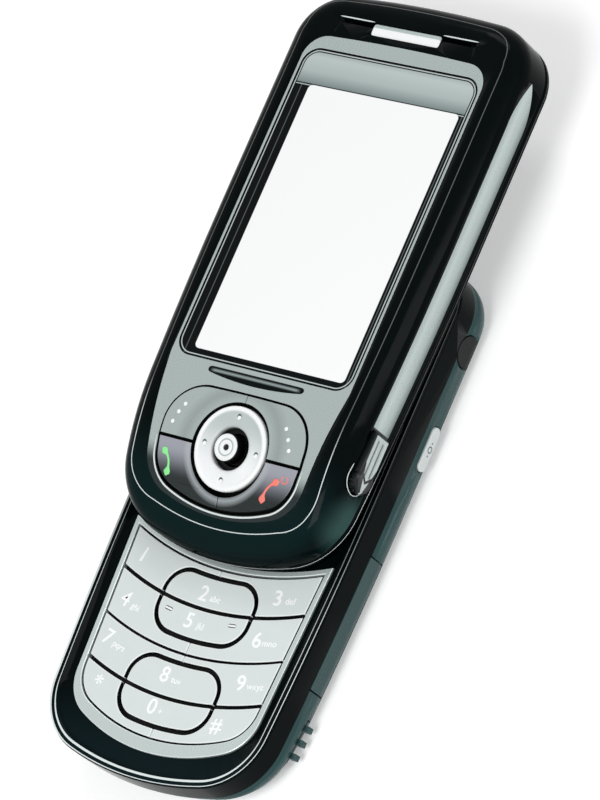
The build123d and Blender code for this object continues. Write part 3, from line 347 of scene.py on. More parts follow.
def shell_with_teal_sheen(finish, above, below, least, teal):
    """Black lacquer with a painted teal sheen between two heights along Y, most where a face looks up."""
    end = finish.scaled(finish.axis("Y"), above, below, smooth=True)
    # Painted sheen: stronger where a face looks up, as a reflection is
    sheen_by_tilt = finish.scaled(finish.tilt(), 0.3, 0.9, least, 1, smooth=True)
    return finish.blend(finish.join("MULTIPLY", end, sheen_by_tilt), finish.cloud(colours().shell, 1.8, 90, 4), teal)


def chin_lacquer():
    """Black lacquer with a painted teal sheen at its lower end and a painted paler gleam beside the side key's
    foot.
    """
    finish = Finish("chin_lacquer")
    # Painted teal sheen towards the lower end
    chin = shell_with_teal_sheen(finish, 0.010, -0.004, 0.25, (0.0032, 0.0135, 0.0145))
    # Painted gleam: a paler patch round a point beside the side key's foot, on both sides
    beside = finish.vector("ABSOLUTE", finish.place())
    gleam_distance = finish.vector("LENGTH", finish.vector("SUBTRACT", beside, (0.0226, 0.0008, 0.0142)))
    shown = finish.blend(finish.scaled(gleam_distance, 0.0060, 0.0005, 0, 0.6, smooth=True), chin, (0.055, 0.135, 0.125))
    finish.orange_peel()
    return finish.done(shown, 0.1, 0.15, 700, 5, spec=0.03)


def two_tone_lacquer():
    """Black lacquer with the rear half's grey below a line round the sides, and above it a painted teal sheen
    towards the lower end.
    """
    finish = Finish("two_tone_lacquer")
    # Painted teal sheen towards the lower end of the black
    top = shell_with_teal_sheen(finish, -0.036, -0.047, 0.1, (0.0028, 0.010, 0.012))
    line = finish.past(finish.axis("Z"), paint_split, 0.00003)
    finish.link("Base Color", finish.blend(line, finish.cloud(colours().rear, 1.25, 90, 4), top))
    finish.link("Roughness", finish.scaled(line, 0, 1, 0.25, 0.12))
    finish.orange_peel()
    finish.surface["Specular IOR Level"].default_value = 0.03
    return finish.material


def painted_highlight_line(name, bright_below, dim_above):
    """Bright bead finish that is a painted highlight along an edge: light silver, bright towards the lower end
    and dimmer above.
    """
    finish = Finish(name)
    bright = colours().bright
    # The painted highlight fades from bright low down to dim higher up
    fade = finish.scaled(finish.axis("Y"), bright_below, dim_above, smooth=True)
    tone = finish.flaked(bright, 0.15, (0.9, 0.92, 0.92))
    return finish.done(finish.blend(fade, tone, lifted(bright, 0.13)), 0.28, 0.38, spec=0.2)


def metallic_paint(name, colour, lift, rough, metal):
    """Metallic paint: fine flake in tone and roughness."""
    finish = Finish(name)
    finish.grain(14000, 2, 0.000006, 0.1)
    return finish.done(finish.cloud(colour, lift, 14000, 2), rough, rough + 0.1, metal=metal)


def satin(name, colour, lift=1.06, rough=0.35):
    """Moulded satin plastic with a fine even grain."""
    finish = Finish(name)
    finish.grain(9000, 3, 0.00001, 0.12)
    return finish.done(finish.cloud(colour, lift, 400, 5), rough, rough + 0.12, 3000)


def painted_shade_wall(name):
    """Painted shade on key walls and in gaps: matt black with a little cloud."""
    finish = Finish(name)
    shown = finish.blend(finish.noise(600, 4), shade_black, (0.004, 0.005, 0.005))
    return finish.done(shown, 0.6, 0.8, 2500, spec=0.1)


def sheet_metal(name, colour, rough=0.28, along=(60, 1, 60)):
    """Rolled sheet: long fine marks in tone and roughness."""
    finish = Finish(name)
    return finish.done(finish.cloud(colour, 1.25, 150, 6, along), rough, rough + 0.15, 150, 6, along, metal=1.0)


def plated(name, colour, rough=0.06):
    """Bright plating with faint cloud."""
    finish = Finish(name)
    return finish.done(finish.cloud(colour, 1.1, 300, 3), rough, rough + 0.06, 1200, metal=1.0)


def board_finish(name):
    """Green board: solder mask over fine tracks."""
    finish = Finish(name)
    tracks = finish.node("TexBrick", {
        "Vector": finish.place(), "Scale": 420, "Mortar Size": 0.03, "Color1": (0.012, 0.10, 0.045, 1),
        "Color2": (0.016, 0.13, 0.055, 1), "Mortar": (0.03, 0.20, 0.09, 1),
    }, "Color")
    return finish.done(tracks, 0.25, 0.4, 900, 3)


def rubber_finish(name, colour):
    """Soft rubber with a dull fine skin."""
    finish = Finish(name)
    finish.grain(5000, 3, 0.00003, 0.2)
    return finish.done(finish.cloud(colour, 1.3, 500, 4), 0.5, 0.68, 2500, spec=0.25)


def fascia_finish():
    """Metallic paint that fades to black round the lower end of the upper keys."""
    finish = Finish("fascia_paint")
    fade = finish.scaled(finish.axis("Y"), 0.0008, 0.0046, smooth=True)
    flake = finish.cloud(colours().fascia, 1.12, 14000, 2)
    return finish.done(finish.blend(fade, chin_dark, flake), 0.24, 0.34, metal=0.35)


def fascia_edge_finish():
    """Painted highlight on the fascia's softened edge, which goes dark with the fascia at the lower end."""
    finish = Finish("fascia_edge_highlight")
    bright = colours().bright
    tone = finish.blend(finish.noise(14000, 2), lifted(bright, 0.7), bright)
    fade = finish.scaled(finish.axis("Y"), 0.0010, 0.0060, smooth=True)
    return finish.done(finish.blend(fade, chin_dark, tone), 0.24, 0.34)


def bar_finish():
    """Earpiece bar: grey along its upper third as painted shade on its top bevel, and white below."""
    finish = Finish("bar_silver")
    low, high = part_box("earpiece_bar")
    split = high.y - (high.y - low.y) * 0.36
    # Painted shade on the top bevel
    upper = finish.past(finish.axis("Y"), split, 0.00008)
    tone = finish.blend(upper, (0.93, 0.95, 0.95), (0.42, 0.50, 0.49))
    return finish.done(finish.flaked(tone, 0.1, (0.8, 0.84, 0.84)), 0.2, 0.3, 3000)


def side_key_finish():
    """Silver on the key's outer skin, with black as painted shade on its walls, in a slanted groove and at its
    upper end, and black outside a tapered outline.
    """
    finish = Finish("side_key_silver")
    low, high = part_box("side_key")
    up = finish.axis("Y")
    # Painted shade: black on the walls, off the outer skin
    skin = finish.scaled(finish.axis("X"), high.x - 0.00034, high.x - 0.00026)
    # Painted shade at the upper end, where the key meets the strip
    top = finish.scaled(up, high.y - 0.00042, high.y - 0.00036, 1, 0)
    aside = finish.aside("Z", (low.z + high.z) / 2)
    taper = finish.scaled(up, low.y + 0.0002, low.y + 0.0052, 0.0002, 0.0018)
    inside = finish.past(finish.join("SUBTRACT", taper, aside), 0, 0.00005)
    shown = finish.join("MULTIPLY", finish.join("MULTIPLY", skin, top), inside)
    # Painted shade in a slanted groove near the lower end
    slant = finish.join("SUBTRACT", up, finish.join("MULTIPLY", aside, 0.8))
    groove_shade = finish.band(slant, low.y + 0.0018, low.y + 0.0024)
    shown = finish.join("SUBTRACT", shown, finish.join("MULTIPLY", groove_shade, shown))
    paint = finish.cloud(colours().silver, 1.2, 14000, 2)
    return finish.done(finish.blend(shown, black_and_gap_shade, paint), 0.26, 0.36, spec=0.3)


def camera_key_finish():
    """Pale silver with a small round mark: a ring with a dot over and under it."""
    finish = Finish("camera_key_silver")
    low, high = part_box("camera_key")
    y, z = (low.y + high.y) / 2, (low.z + high.z) / 2
    away, *spots = [finish.vector("LENGTH", finish.place((0, 1, 1), (0, -y - step, -z)))
                    for step in (0, -0.00115, 0.00115)]
    mark = finish.band(away, 0.00042, 0.00062)
    for spot in spots:
        mark = finish.join("MAXIMUM", mark, finish.scaled(spot, 0.00012, 0.0002, 1, 0))
    pale = finish.blend(finish.noise(9000, 2), (0.68, 0.74, 0.73), (0.76, 0.81, 0.80))
    return finish.done(finish.blend(mark, pale, (0.05, 0.09, 0.09)), 0.26, 0.36, spec=0.3)


def soft_key_finish():
    """Metallic paint with a darker round shade beside the five-way key."""
    finish = Finish("soft_key_paint")
    light = lifted(colours().fascia, 0.98)
    shade = finish.scaled(finish.band(finish.reach(0, nav_y), 0.0088, 0.0108, 0.0009), 0, 1, 0, 0.4)
    shown = finish.blend(shade, finish.cloud(light, 1.12, 14000, 2), lifted(light, 0.5))
    return finish.done(shown, 0.26, 0.36, metal=0.35)


def lower_key_finish():
    """Lavender grey paint that darkens downwards as a painted dark reflection, with a painted highlight in a
    round band beside the five-way key.
    """
    finish = Finish("lower_key_paint")
    # Painted dark reflection towards the lower end
    fade = finish.scaled(finish.axis("Y"), -0.0010, 0.0042, smooth=True)
    body = finish.blend(fade, (0.004, 0.010, 0.011), (0.33, 0.34, 0.39))
    # Painted highlight in a round band beside the five-way key
    rim = finish.scaled(finish.band(finish.reach(0, nav_y), 0.0079, 0.0089, 0.0005), 0, 1, 0, 0.75)
    return finish.done(finish.blend(rim, body, (0.42, 0.46, 0.48)), 0.15, 0.25, 900, 3, spec=0.35)


def bow_finish():
    """Dark bow under the lens with a grey gleam along its middle."""
    finish = Finish("bow_lacquer")
    along = finish.scaled(finish.aside("X"), 0.0084, 0.0097, 1, 0, smooth=True)
    across = finish.band(finish.axis("Y"), bow_top - 0.00088, bow_top - 0.00050, 0.00018)
    shown = finish.blend(finish.join("MULTIPLY", along, across), black_and_gap_shade, (0.30, 0.36, 0.36))
    return finish.done(shown, 0.12, 0.2, 900, 3, spec=0.05)


def lens_finish():
    """The lens with its print seen through it: silver head band, black border with a thin silver line
    round it, a grey line up each side of the display, and the blank screen, which lies off the middle."""
    finish = Finish("printed_lens")
    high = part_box("display_lens")[1].y
    up = finish.axis("Y")
    line = (0.55, 0.62, 0.61)
    rim, screen = finish.past_edge(*lens_edge), finish.past_edge(*screen_edge)
    aside = finish.aside("X", display_middle)
    low = high - head_band
    silver = finish.curve(finish.scaled(up, low, high), [
        (0.0, (0.20, 0.25, 0.25)), (0.35, (0.42, 0.49, 0.48)),
        (0.75, (0.50, 0.57, 0.56)), (1.0, (0.32, 0.38, 0.38)),
    ])
    inside = finish.scaled(rim, -0.00078, -0.00070, 1, 0)
    head = finish.join("MINIMUM", inside, finish.scaled(up, low, low + 0.00008))
    thin = finish.join("MINIMUM", inside, finish.band(up, low - band_line - 0.00007, low - band_line + 0.00007))
    sides = finish.band(aside, display_half - 0.00009, display_half + 0.00009)
    shown = finish.blend(sides, (0.0015, 0.003, 0.0032), (0.09, 0.105, 0.105))
    shown = finish.blend(head, shown, silver)
    shown = finish.blend(thin, shown, line)
    shown = finish.blend(finish.band(rim, -0.00052, -0.00034), shown, line)
    shown = finish.blend(finish.short_of(screen, 0), shown, colours().screen)
    return finish.done(shown, 0.06, 0.1, 600, 3, spec=0.06)


def strip_finish():
    """Silver strip, lighter along its upper part as a painted highlight and darker low down as painted shade, and
    black at its lower end as painted shade where it meets the key.
    """
    finish = Finish("strip_silver")
    # Painted highlight and shade across the strip's height
    tone = finish.curve(finish.scaled(finish.axis("Z"), 0.0142, 0.0190), [
        (0.0, (0.10, 0.14, 0.14)), (0.3, (0.38, 0.45, 0.44)),
        (0.7, (0.50, 0.58, 0.56)), (1.0, (0.34, 0.41, 0.40)),
    ])
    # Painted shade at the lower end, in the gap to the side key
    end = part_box("side_trims")[0].y + 0.00035
    above = finish.past(finish.axis("Y"), end, 0.00006)
    shown = finish.blend(above, black_and_gap_shade, finish.flaked(tone, 0.12, (0.8, 0.85, 0.84)))
    return finish.done(shown, 0.26, 0.36, metal=0.4)


def knob_finish():
    """Bright face of the knob with a dark dimple and a faint ring; its wall is black, as painted shade."""
    finish = Finish("knob_silver")
    away = finish.nav_reach()
    ring = finish.blend(finish.band(away, 0.00128, 0.00150, 0.00008), (0.88, 0.91, 0.91), (0.36, 0.42, 0.42))
    face = finish.blend(finish.scaled(away, 0.00048, 0.00060, 1, 0), ring, (0.003, 0.005, 0.005))
    # Painted shade: black on the knob's wall
    shown = finish.blend(finish.scaled(away, 0.00226, 0.00232), face, shade_black)
    return finish.done(shown, 0.25, 0.33, 1200, spec=0.25)


def ring_finish():
    """Silver five-way ring with painted shade towards its upper side, a painted highlight on its rim, and painted
    shade and highlight in its four dimples.
    """
    finish = Finish("ring_silver")
    up = finish.node("SeparateXYZ", {"Vector": finish.nav_frame()}, "Y")
    flake = finish.blend(finish.noise(14000, 2), (0.86, 0.88, 0.90), (0.92, 0.94, 0.95))
    # Painted shade towards the upper side
    body = finish.blend(finish.scaled(up, -0.0035, 0.005, smooth=True), flake, (0.50, 0.56, 0.55))
    # Painted highlight on the rim
    shown = finish.blend(finish.scaled(finish.nav_reach(), 0.0062, 0.0066), body, (0.93, 0.95, 0.95))
    for across, high in dimples:
        # Painted shade and highlight in each dimple
        shade = finish.scaled(finish.nav_reach(across - 0.00006, high + 0.00012), 0.00036, 0.00046, 1, 0)
        gleam = finish.scaled(finish.nav_reach(across - 0.00002, high - 0.00012), 0.00030, 0.00038, 1, 0)
        shown = finish.blend(shade, shown, (0.06, 0.10, 0.10))
        shown = finish.blend(gleam, shown, (0.95, 0.97, 0.97))
    return finish.done(shown, 0.3, 0.4, spec=0.3)


# ---- meshes ----


def set_down(name, data):
    """A new object in the scene."""
    thing = bpy.data.objects.new(name, data)
    bpy.context.scene.collection.objects.link(thing)
    return thing


def body_of(node):
    """The body that a CAD node belongs to."""
    for body, nodes in frame["record"]["behaviour"]["bodies"].items():
        if node in nodes:
            return body
    raise RuntimeError("no body holds " + node)


def dress(node, finishes, edge=0.0, rides=True):
    """A welded, smoothly shaded copy of a CAD node that stands for it, with its edges softened. The
    finishes are for its faces, its upright walls and its softened edges, as many as are given. A wall
    on the middle line, where two keys meet, keeps the faces' finish."""
    sharp_angle, wall_slope, seam_reach = radians(28), 0.6, 0.0003
    work = bmesh.new()
    work.from_mesh(frame["nodes"][node].data)
    bmesh.ops.remove_doubles(work, verts=work.verts, dist=0.000002)
    if edge > 0:
        bmesh.ops.dissolve_limit(work, angle_limit=radians(0.05), verts=work.verts, edges=work.edges)
    mesh = bpy.data.meshes.new(node + "_skin")
    work.to_mesh(mesh)
    work.free()
    mesh.materials.clear()
    for finish in finishes:
        mesh.materials.append(finish)
    normals, centres = np.zeros((2, len(mesh.polygons) * 3))
    mesh.polygons.foreach_get("normal", normals)
    mesh.polygons.foreach_get("center", centres)
    normals = np.abs(normals.reshape(-1, 3))
    middle = (normals[:, 0] > 0.9) & (np.abs(centres.reshape(-1, 3)[:, 0]) < seam_reach)
    walls = (normals[:, 2] < wall_slope) & ~middle & (len(finishes) > 1)
    mesh.polygons.foreach_set("material_index", walls.astype(np.int32))
    piece = set_down(node + "_skin", mesh)
    mesh.shade_smooth()
    if edge > 0:
        soft = piece.modifiers.new("soft_edges", "BEVEL")
        soft.width = edge
        soft.segments = 2
        soft.limit_method = "ANGLE"
        soft.angle_limit = sharp_angle
        if len(finishes) > 2:
            soft.material = 2
    else:
        mesh.set_sharp_from_angle(angle=sharp_angle)
    even = piece.modifiers.new("even_normals", "WEIGHTED_NORMAL")
    even.keep_sharp = True
    even.weight = 100
    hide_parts(node)
    if rides:
        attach(piece, body_of(node))
    return piece


def surface(name, points, finish, body, closed_u=False, closed_v=False):
    """A mesh from a grid of points, rows by columns, its doubles merged and its faces turned outwards."""
    rows, columns = points.shape[:2]
    index = np.arange(rows * columns).reshape(rows, columns)
    if closed_u:
        index = np.vstack([index, index[:1]])
    if closed_v:
        index = np.hstack([index, index[:, :1]])
    faces = np.stack([index[:-1, :-1], index[1:, :-1], index[1:, 1:], index[:-1, 1:]], axis=-1).reshape(-1, 4)
    mesh = bpy.data.meshes.new(name)
    mesh.from_pydata(points.reshape(-1, 3).tolist(), [], faces.tolist())
    work = bmesh.new()
    work.from_mesh(mesh)
    bmesh.ops.remove_doubles(work, verts=work.verts, dist=0.0000005)
    bmesh.ops.recalc_face_normals(work, faces=work.faces)
    work.to_mesh(mesh)
    work.free()
    mesh.materials.append(finish)
    mesh.shade_smooth()
    piece = set_down(name, mesh)
    if body:
        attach(piece, body)
    return piece


def bead(name, path, outward, wide, high, finish, body, closed=True):
    """A slim raised line: an ellipse carried along a path, its width across the path and its height
    along the outward direction. Width and height may change along the path."""
    if closed:
        tangent = np.roll(path, -1, axis=0) - np.roll(path, 1, axis=0)
    else:
        tangent = np.gradient(path, axis=0)
    across = np.cross(tangent, outward)
    across /= np.linalg.norm(across, axis=1, keepdims=True)
    turn = np.arange(8) * pi / 4
    wide, high = (np.broadcast_to(size, len(path))[:, None, None] for size in (wide, high))
    points = (path[:, None] + wide * np.cos(turn)[None, :, None] * across[:, None]
              + high * np.sin(turn)[None, :, None] * np.broadcast_to(outward, path.shape)[:, None])
    return surface(name, points, finish, body, closed_u=closed, closed_v=True)


def tapered(count, run):
    """Shares of a line's width that grow from both its ends, as a root, over so many points."""
    least_share = 0.01
    along = np.arange(count)
    return np.sqrt(np.clip(np.minimum(along, along[::-1]) / run, least_share, 1))


def round_ended(along, power, least=0.0001):
    """Shares of a line's width: the root of one minus a power of the place along it, from -1 to 1."""
    return np.sqrt(np.maximum(1 - along**power, least))


def pip(name, centre, outward, radius, height, finish, body):
    """A small dome: half-widths of a flattened ball about a centre, its short axis along the outward
    direction."""
    outward = np.asarray(outward) / np.linalg.norm(outward)
    side = np.cross(outward, (0.3, 1.0, 0.2))
    side /= np.linalg.norm(side)
    other = np.cross(outward, side)
    down = np.linspace(0, pi, 9)[:, None, None]
    turn = np.linspace(0, 2 * pi, 17)[None, :-1, None]
    points = (np.asarray(centre) + radius * np.sin(down) * (np.cos(turn) * side + np.sin(turn) * other)
              + height * np.cos(down) * outward)
    return surface(name, points, finish, body, closed_v=True)


def arc(centre_x, centre_y, radius, start, end, count):
    """Points and outward directions on a circular arc: the centre plus the radius times the cosine
    and sine of an even run of angles."""
    turn = np.linspace(start, end, count)
    normal = np.stack([np.cos(turn), np.sin(turn)], axis=1)
    return np.array([centre_x, centre_y]) + radius * normal, normal


def half_outline(low, high, low_radius, low_corner, high_corner):
    """Outline of one half in plan with its outward directions: crowned top, round corners, straight
    sides that draw in along a long arc, and a round lower end. Each corner's centre lies where it is
    one corner radius inside both of its neighbours."""
    crown = 0.0013
    crown_radius = (half_width**2 + crown**2) / (2 * crown)
    crown_y = high - crown_radius
    corner_x = half_width - high_corner
    corner_y = crown_y + np.sqrt((crown_radius - high_corner) ** 2 - corner_x**2)
    top_angle = np.arctan2(corner_y - crown_y, corner_x)
    side = np.array([half_width - side_radius, low + side_run])
    foot = np.array([0.0, low + low_radius])
    reach_side, reach_foot = side_radius - low_corner, low_radius - low_corner
    length = np.hypot(*(foot - side))
    along = (reach_side**2 - reach_foot**2 + length**2) / (2 * length)
    off = np.sqrt(reach_side**2 - along**2)
    unit = (foot - side) / length
    heel = side + along * unit + off * np.array([unit[1], -unit[0]])
    heel_angle = np.arctan2(*(heel - side)[::-1])
    foot_angle = np.arctan2(*(heel - foot)[::-1])
    straight = np.stack([np.full(12, half_width), np.linspace(corner_y, side[1], 12)], axis=1)
    pieces = [
        arc(0, crown_y, crown_radius, pi / 2, top_angle, 24),
        arc(corner_x, corner_y, high_corner, top_angle, 0, 20),
        (straight, np.tile([1.0, 0.0], (12, 1))),
        arc(*side, side_radius, 0, heel_angle, 40),
        arc(*heel, low_corner, heel_angle, foot_angle, 24),
        arc(*foot, low_radius, foot_angle, -pi / 2, 40),
    ]
    mirror_x = np.array([-1.0, 1.0])
    right = (np.vstack([row[1:] for row in rows]) for rows in zip(*pieces))
    return [np.vstack([rows, (rows * mirror_x)[-2::-1]]) for rows in right]


def slider_outline():
    """Outline of the display half."""
    return half_outline(slider_low, slider_high, 0.048, 0.012, 0.0095)


def base_outline():
    """Outline of the keypad half."""
    return half_outline(base_low, base_high, 0.054, 0.012, 0.009)


def at_level(plan, height):
    """Points in plan set at one height."""
    return np.column_stack([plan, np.full(len(plan), height)])


def face_height(y):
    """Height of the display half's front face: level above the bend, and below it a round chin,
    the top less the chin radius plus the root of radius squared less the distance past the bend squared."""
    past = np.maximum(bend_y - y, 0)
    return face_top - chin_radius + np.sqrt(chin_radius**2 - past**2)


def face_outward(y):
    """Outward directions of the display half's front face at places along Y, one row for each."""
    lean = np.maximum(bend_y - np.atleast_1d(y), 0) / chin_radius
    return np.column_stack([np.zeros(len(lean)), -lean, np.sqrt(1 - lean**2)])


def edge_line(at_side, at_foot, at_top):
    """Path on the display half's rolled edge at a distance inside its outline, which blends between
    the sides', the foot's and the top's. With s the face's slope outwards and r the round, the height
    is face - s r - r root(1 + s squared) + r sin(angle), where r - r cos(angle) is the inset, as far in
    as the roll meets the face; further in the path lies on the face."""
    points, normals = slider_outline()
    down = np.clip(-normals[:, 1], 0, 1) ** 3
    up = np.clip((normals[:, 1] - 0.3) / 0.5, 0, 1)
    inset = at_side + (at_foot - at_side) * down + (at_top - at_side) * up
    past = np.maximum(bend_y - points[:, 1], 0)
    slope = normals[:, 1] * past / np.sqrt(chin_radius**2 - past**2)
    steep = np.sqrt(1 + slope**2)
    turn = np.arccos(np.clip(1 - inset / edge_round, 0, 1))
    height = face_height(points[:, 1]) - edge_round * (slope + steep - np.sin(turn))
    outward = np.column_stack([normals * np.cos(turn)[:, None], np.sin(turn)])
    plan = points - normals * inset[:, None]
    on_face = inset > edge_round * (1 + np.minimum(slope, 0) / steep)
    height = np.where(on_face, face_height(plan[:, 1]), height)
    return np.column_stack([plan, height]), np.where(on_face[:, None], face_outward(plan[:, 1]), outward)


def keys_foot_highlight(beyond):
    """Path round the lower end of the upper keys, so far outside their outline: a straight side, a
    corner arc and a wide arc, which share their tangents, and the mirror of all three."""
    start, finish = radians(-7.4), radians(-69.7)
    corner, _ = arc(0.00832, 0.00369, 0.0066 + beyond, start, finish, 30)
    foot, _ = arc(0, 0.0262, 0.0306 + beyond, finish, -pi / 2, 30)
    rise = np.linspace(0.0024, 0, 10)[:-1, None] * np.array([[-sin(start), cos(start)]]) + corner[0]
    plan = np.vstack([rise, corner, foot[1:]])
    plan = np.vstack([plan, (plan * [-1, 1])[-2::-1]])
    return np.column_stack([plan, face_height(plan[:, 1])]), face_outward(plan[:, 1])


def nav_turned(profile, count, press=None):
    """A profile of radius and height in millimetres turned round in so many steps on the five-way
    key's tilted plane. Press gives the depth at each place across and up."""
    turn = np.arange(count) * 2 * pi / count
    radius, out = (np.array(profile) * mm).T[:, :, None]
    across, up = radius * np.cos(turn), radius * np.sin(turn)
    if press:
        out = out - press(across, up)
    along, rise = cos(nav_tilt), sin(nav_tilt)
    places = across, nav_y + up * along - out * rise, nav_z + up * rise + out * along
    return np.stack(np.broadcast_arrays(*places), axis=-1)


def dimple_depth(across, up):
    """Depth of the ring's four dimples, each a bell: depth times exp of minus the squared distance
    over its width squared."""
    reach = np.minimum.reduce([np.hypot(across - x, up - y) for x, y in dimples])
    return 0.0003 * np.exp(-((reach / 0.00042) ** 2))


def turned_ring():
    """The five-way ring: a dished profile turned round and pressed in at its four dimples."""
    return nav_turned([
        (3.65, -1.3), (3.65, -0.25), (3.70, -0.08), (3.82, 0.05), (4.0, 0.12), (4.25, 0.13), (4.6, 0.10),
        (4.8, 0.08), (5.0, 0.06), (5.2, 0.05), (5.35, 0.04), (5.5, 0.04), (5.7, 0.04), (5.9, 0.05), (6.1, 0.06),
        (6.3, 0.08), (6.42, 0.13), (6.55, 0.19), (6.75, 0.2), (6.95, 0.19), (7.12, 0.10), (7.22, -0.05),
        (7.25, -0.25), (7.25, -1.3),
    ], 240, dimple_depth)


def turned_knob():
    """The knob: a round bar with a soft edge, a ring groove and a dimple in its face."""
    return nav_turned([
        (0.0, 0.98), (0.3, 0.98), (0.45, 1.02), (0.55, 1.16), (0.66, 1.25), (0.9, 1.28), (1.15, 1.27), (1.3, 1.2),
        (1.45, 1.2), (1.6, 1.3), (1.8, 1.38), (2.0, 1.4), (2.18, 1.34), (2.3, 1.2), (2.35, 1.0), (2.35, -1.1),
        (1.95, -1.1), (1.95, -2.4), (0.0, -2.4),
    ], 96)


def bow():
    """The dark bow under the lens, a flat bead with a straight upper edge and a bowed lower one: its
    depth is a least depth plus a sag times one minus the square of the place along it, its points lie
    closer towards its ends as a sine, and its ends close as the root of one minus the 40th power."""
    along = np.sin(np.linspace(-pi / 2, pi / 2, 96))
    ends = round_ended(along, 40, 0.0004)
    deep = 0.00105 + 0.00085 * (1 - along**2)
    y = bow_top - deep / 2
    path = np.column_stack([bow_half * along, y, face_height(y)])
    piece = bead("status_bow", path, upward, deep / 2 * ends, 0.00012 * ends, bow_finish(), "slider", False)
    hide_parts("status_bar")
    return piece


def handset(name, start, end, bend, finish, body):
    """A handset mark: a bowed stroke that widens to a round pad at each end; the bow is a parabola
    across the stroke, and the half-width is a thin stem plus a bell at each end."""
    along = np.linspace(0, 1, 48)
    start, end = np.array(start) * mm, np.array(end) * mm
    cross = np.array([-(end - start)[1], (end - start)[0]])
    cross = cross / np.hypot(*cross)
    plan = start + (end - start) * along[:, None] + cross * (bend * (4 * along * (1 - along) - 1))[:, None]
    path = np.column_stack([plan, face_height(plan[:, 1]) + 0.00016])
    bells = np.exp(-(((along - 0.12) / 0.11) ** 2)) + np.exp(-(((along - 0.88) / 0.11) ** 2))
    ends = np.sqrt(np.clip(np.minimum(along, 1 - along) / 0.08, 0.0004, 1))
    wide = (0.00022 + 0.00048 * bells) * ends
    return bead(name, path, face_outward(plan[:, 1].mean()), wide, 0.00006 * ends, finish, body, False)


def lettering(name, text, height, x, y, z, turn, finish, body):
    """Text made a thin solid, turned in plan and set down at its place."""
    curve = bpy.data.curves.new(name, "FONT")
    curve.body = text
    curve.size = height * 1.4
    curve.extrude = sizes().figure_relief
    curve.offset = height * 0.016
    curve.align_x = curve.align_y = "CENTER"
    source = set_down(name, curve)
    bpy.context.view_layer.update()
    mesh = bpy.data.meshes.new_from_object(source.evaluated_get(bpy.context.evaluated_depsgraph_get()))
    bpy.data.objects.remove(source)
    bpy.data.curves.remove(curve)
    mesh.transform(Matrix.Translation((x, y, z)) @ Matrix.Rotation(turn, 4, "Z"))
    mesh.materials.clear()
    mesh.materials.append(finish)
    piece = set_down(name, mesh)
    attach(piece, body)
    return piece


def paint_node(node, finish):
    """Gives a carried-over CAD node its finish."""
    mesh = frame["nodes"][node].data
    mesh.materials.clear()
    mesh.materials.append(finish)
    mesh.polygons.foreach_set("material_index", np.zeros(len(mesh.polygons), dtype=np.int32))


# ---- operators ----


class PHONE_OT_shells(bpy.types.Operator):
    """Both halves' outer shells, with the thin bright lines along their rims, which are painted highlights."""

    bl_idname = "phone.shells"
    bl_label = "Shells"

    def execute(self, context):
        dress("slider_front_housing", [chin_lacquer()])
        dress("slider_rear_cover", [lacquer("black_lacquer", colours().shell)])
        dress("base_front_housing", [two_tone_lacquer()])
        grey = lacquer("rear_lacquer", colours().rear, 1.25, 0.25, 0.2)
        for node in ("base_rear_housing", "battery_cover", "port_cover"):
            dress(node, [grey])
        width = sizes().line_width
        # Painted highlights: bright beads along the display half's rolled edge and round its foot
        rim_highlight = painted_highlight_line("rim_highlight", 0.006, 0.016)
        path, outward = edge_line(at_side=0.0031, at_foot=0.0042, at_top=0.0021)
        bead("slider_rim_line", path, outward, width * 0.8, 0.00005, rim_highlight, "slider")
        plan, normals = slider_outline()
        path = at_level(plan - normals * 0.00004, slider_foot + 0.0009)
        outward = at_level(normals, 0.0)
        bead("slider_foot_highlight", path, outward, width * 0.7, 0.00006, rim_highlight, "slider")
        # Painted highlights: bright beads along the base's rim and lip
        base_highlight = painted_highlight_line("base_highlight", -0.03, 0.01)
        plan, normals = base_outline()
        left, foot = np.maximum(-normals, 0).T
        for name, inset, wide in (("base_rim_line", 0.00030, width * (0.7 + 1.2 * left)),
                                  ("base_lip_highlight", 0.00118, width * (0.6 + 1.6 * foot))):
            path = at_level(plan - normals * inset, base_top - 0.00002)
            bead(name, path, upward, wide, 0.00005, base_highlight, "base")
        return {"FINISHED"}


class PHONE_OT_front(bpy.types.Operator):
    """Lens, fascia, earpiece and the trim of the display half."""

    bl_idname = "phone.front"
    bl_label = "Front"

    def execute(self, context):
        # Painted shade for the upright walls of the fascia and the earpiece bar
        wall = painted_shade_wall("fascia_wall_shade")
        # Painted highlight on the fascia's softened edges
        dress("fascia_plate", [fascia_finish(), wall, fascia_edge_finish()], 0.00013)
        # Painted highlight: a bright bead round the lower end of the upper keys
        path, outward = keys_foot_highlight(0.00030)
        wide = 0.00017 * tapered(len(path), 14)
        light = painted_highlight_line("keys_highlight", 0.006, 0.016)
        bead("keys_foot_highlight", path, outward, wide, 0.00005, light, "slider", False)
        bow()
        dress("display_lens", [lens_finish()])
        dress("earpiece_bar", [bar_finish(), wall])
        dress("side_trims", [strip_finish()])
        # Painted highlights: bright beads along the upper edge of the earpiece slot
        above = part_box("earpiece_bar")[1].y + 0.00030
        bright = painted_highlight_line("slot_highlight", 0.1, 0.2)
        across = np.linspace(-1, 1, 60)
        thin = 0.00013 * round_ended(across, 4)
        for name, side in (("slot_line_left", -1), ("slot_line_right", 1)):
            x = side * (0.0109 + 0.0037 * across)
            path = at_level(np.column_stack([x, np.full(len(x), above)]), face_top)
            bead(name, path, upward, thin, thin * 0.4, bright, "slider", False)
        return {"FINISHED"}


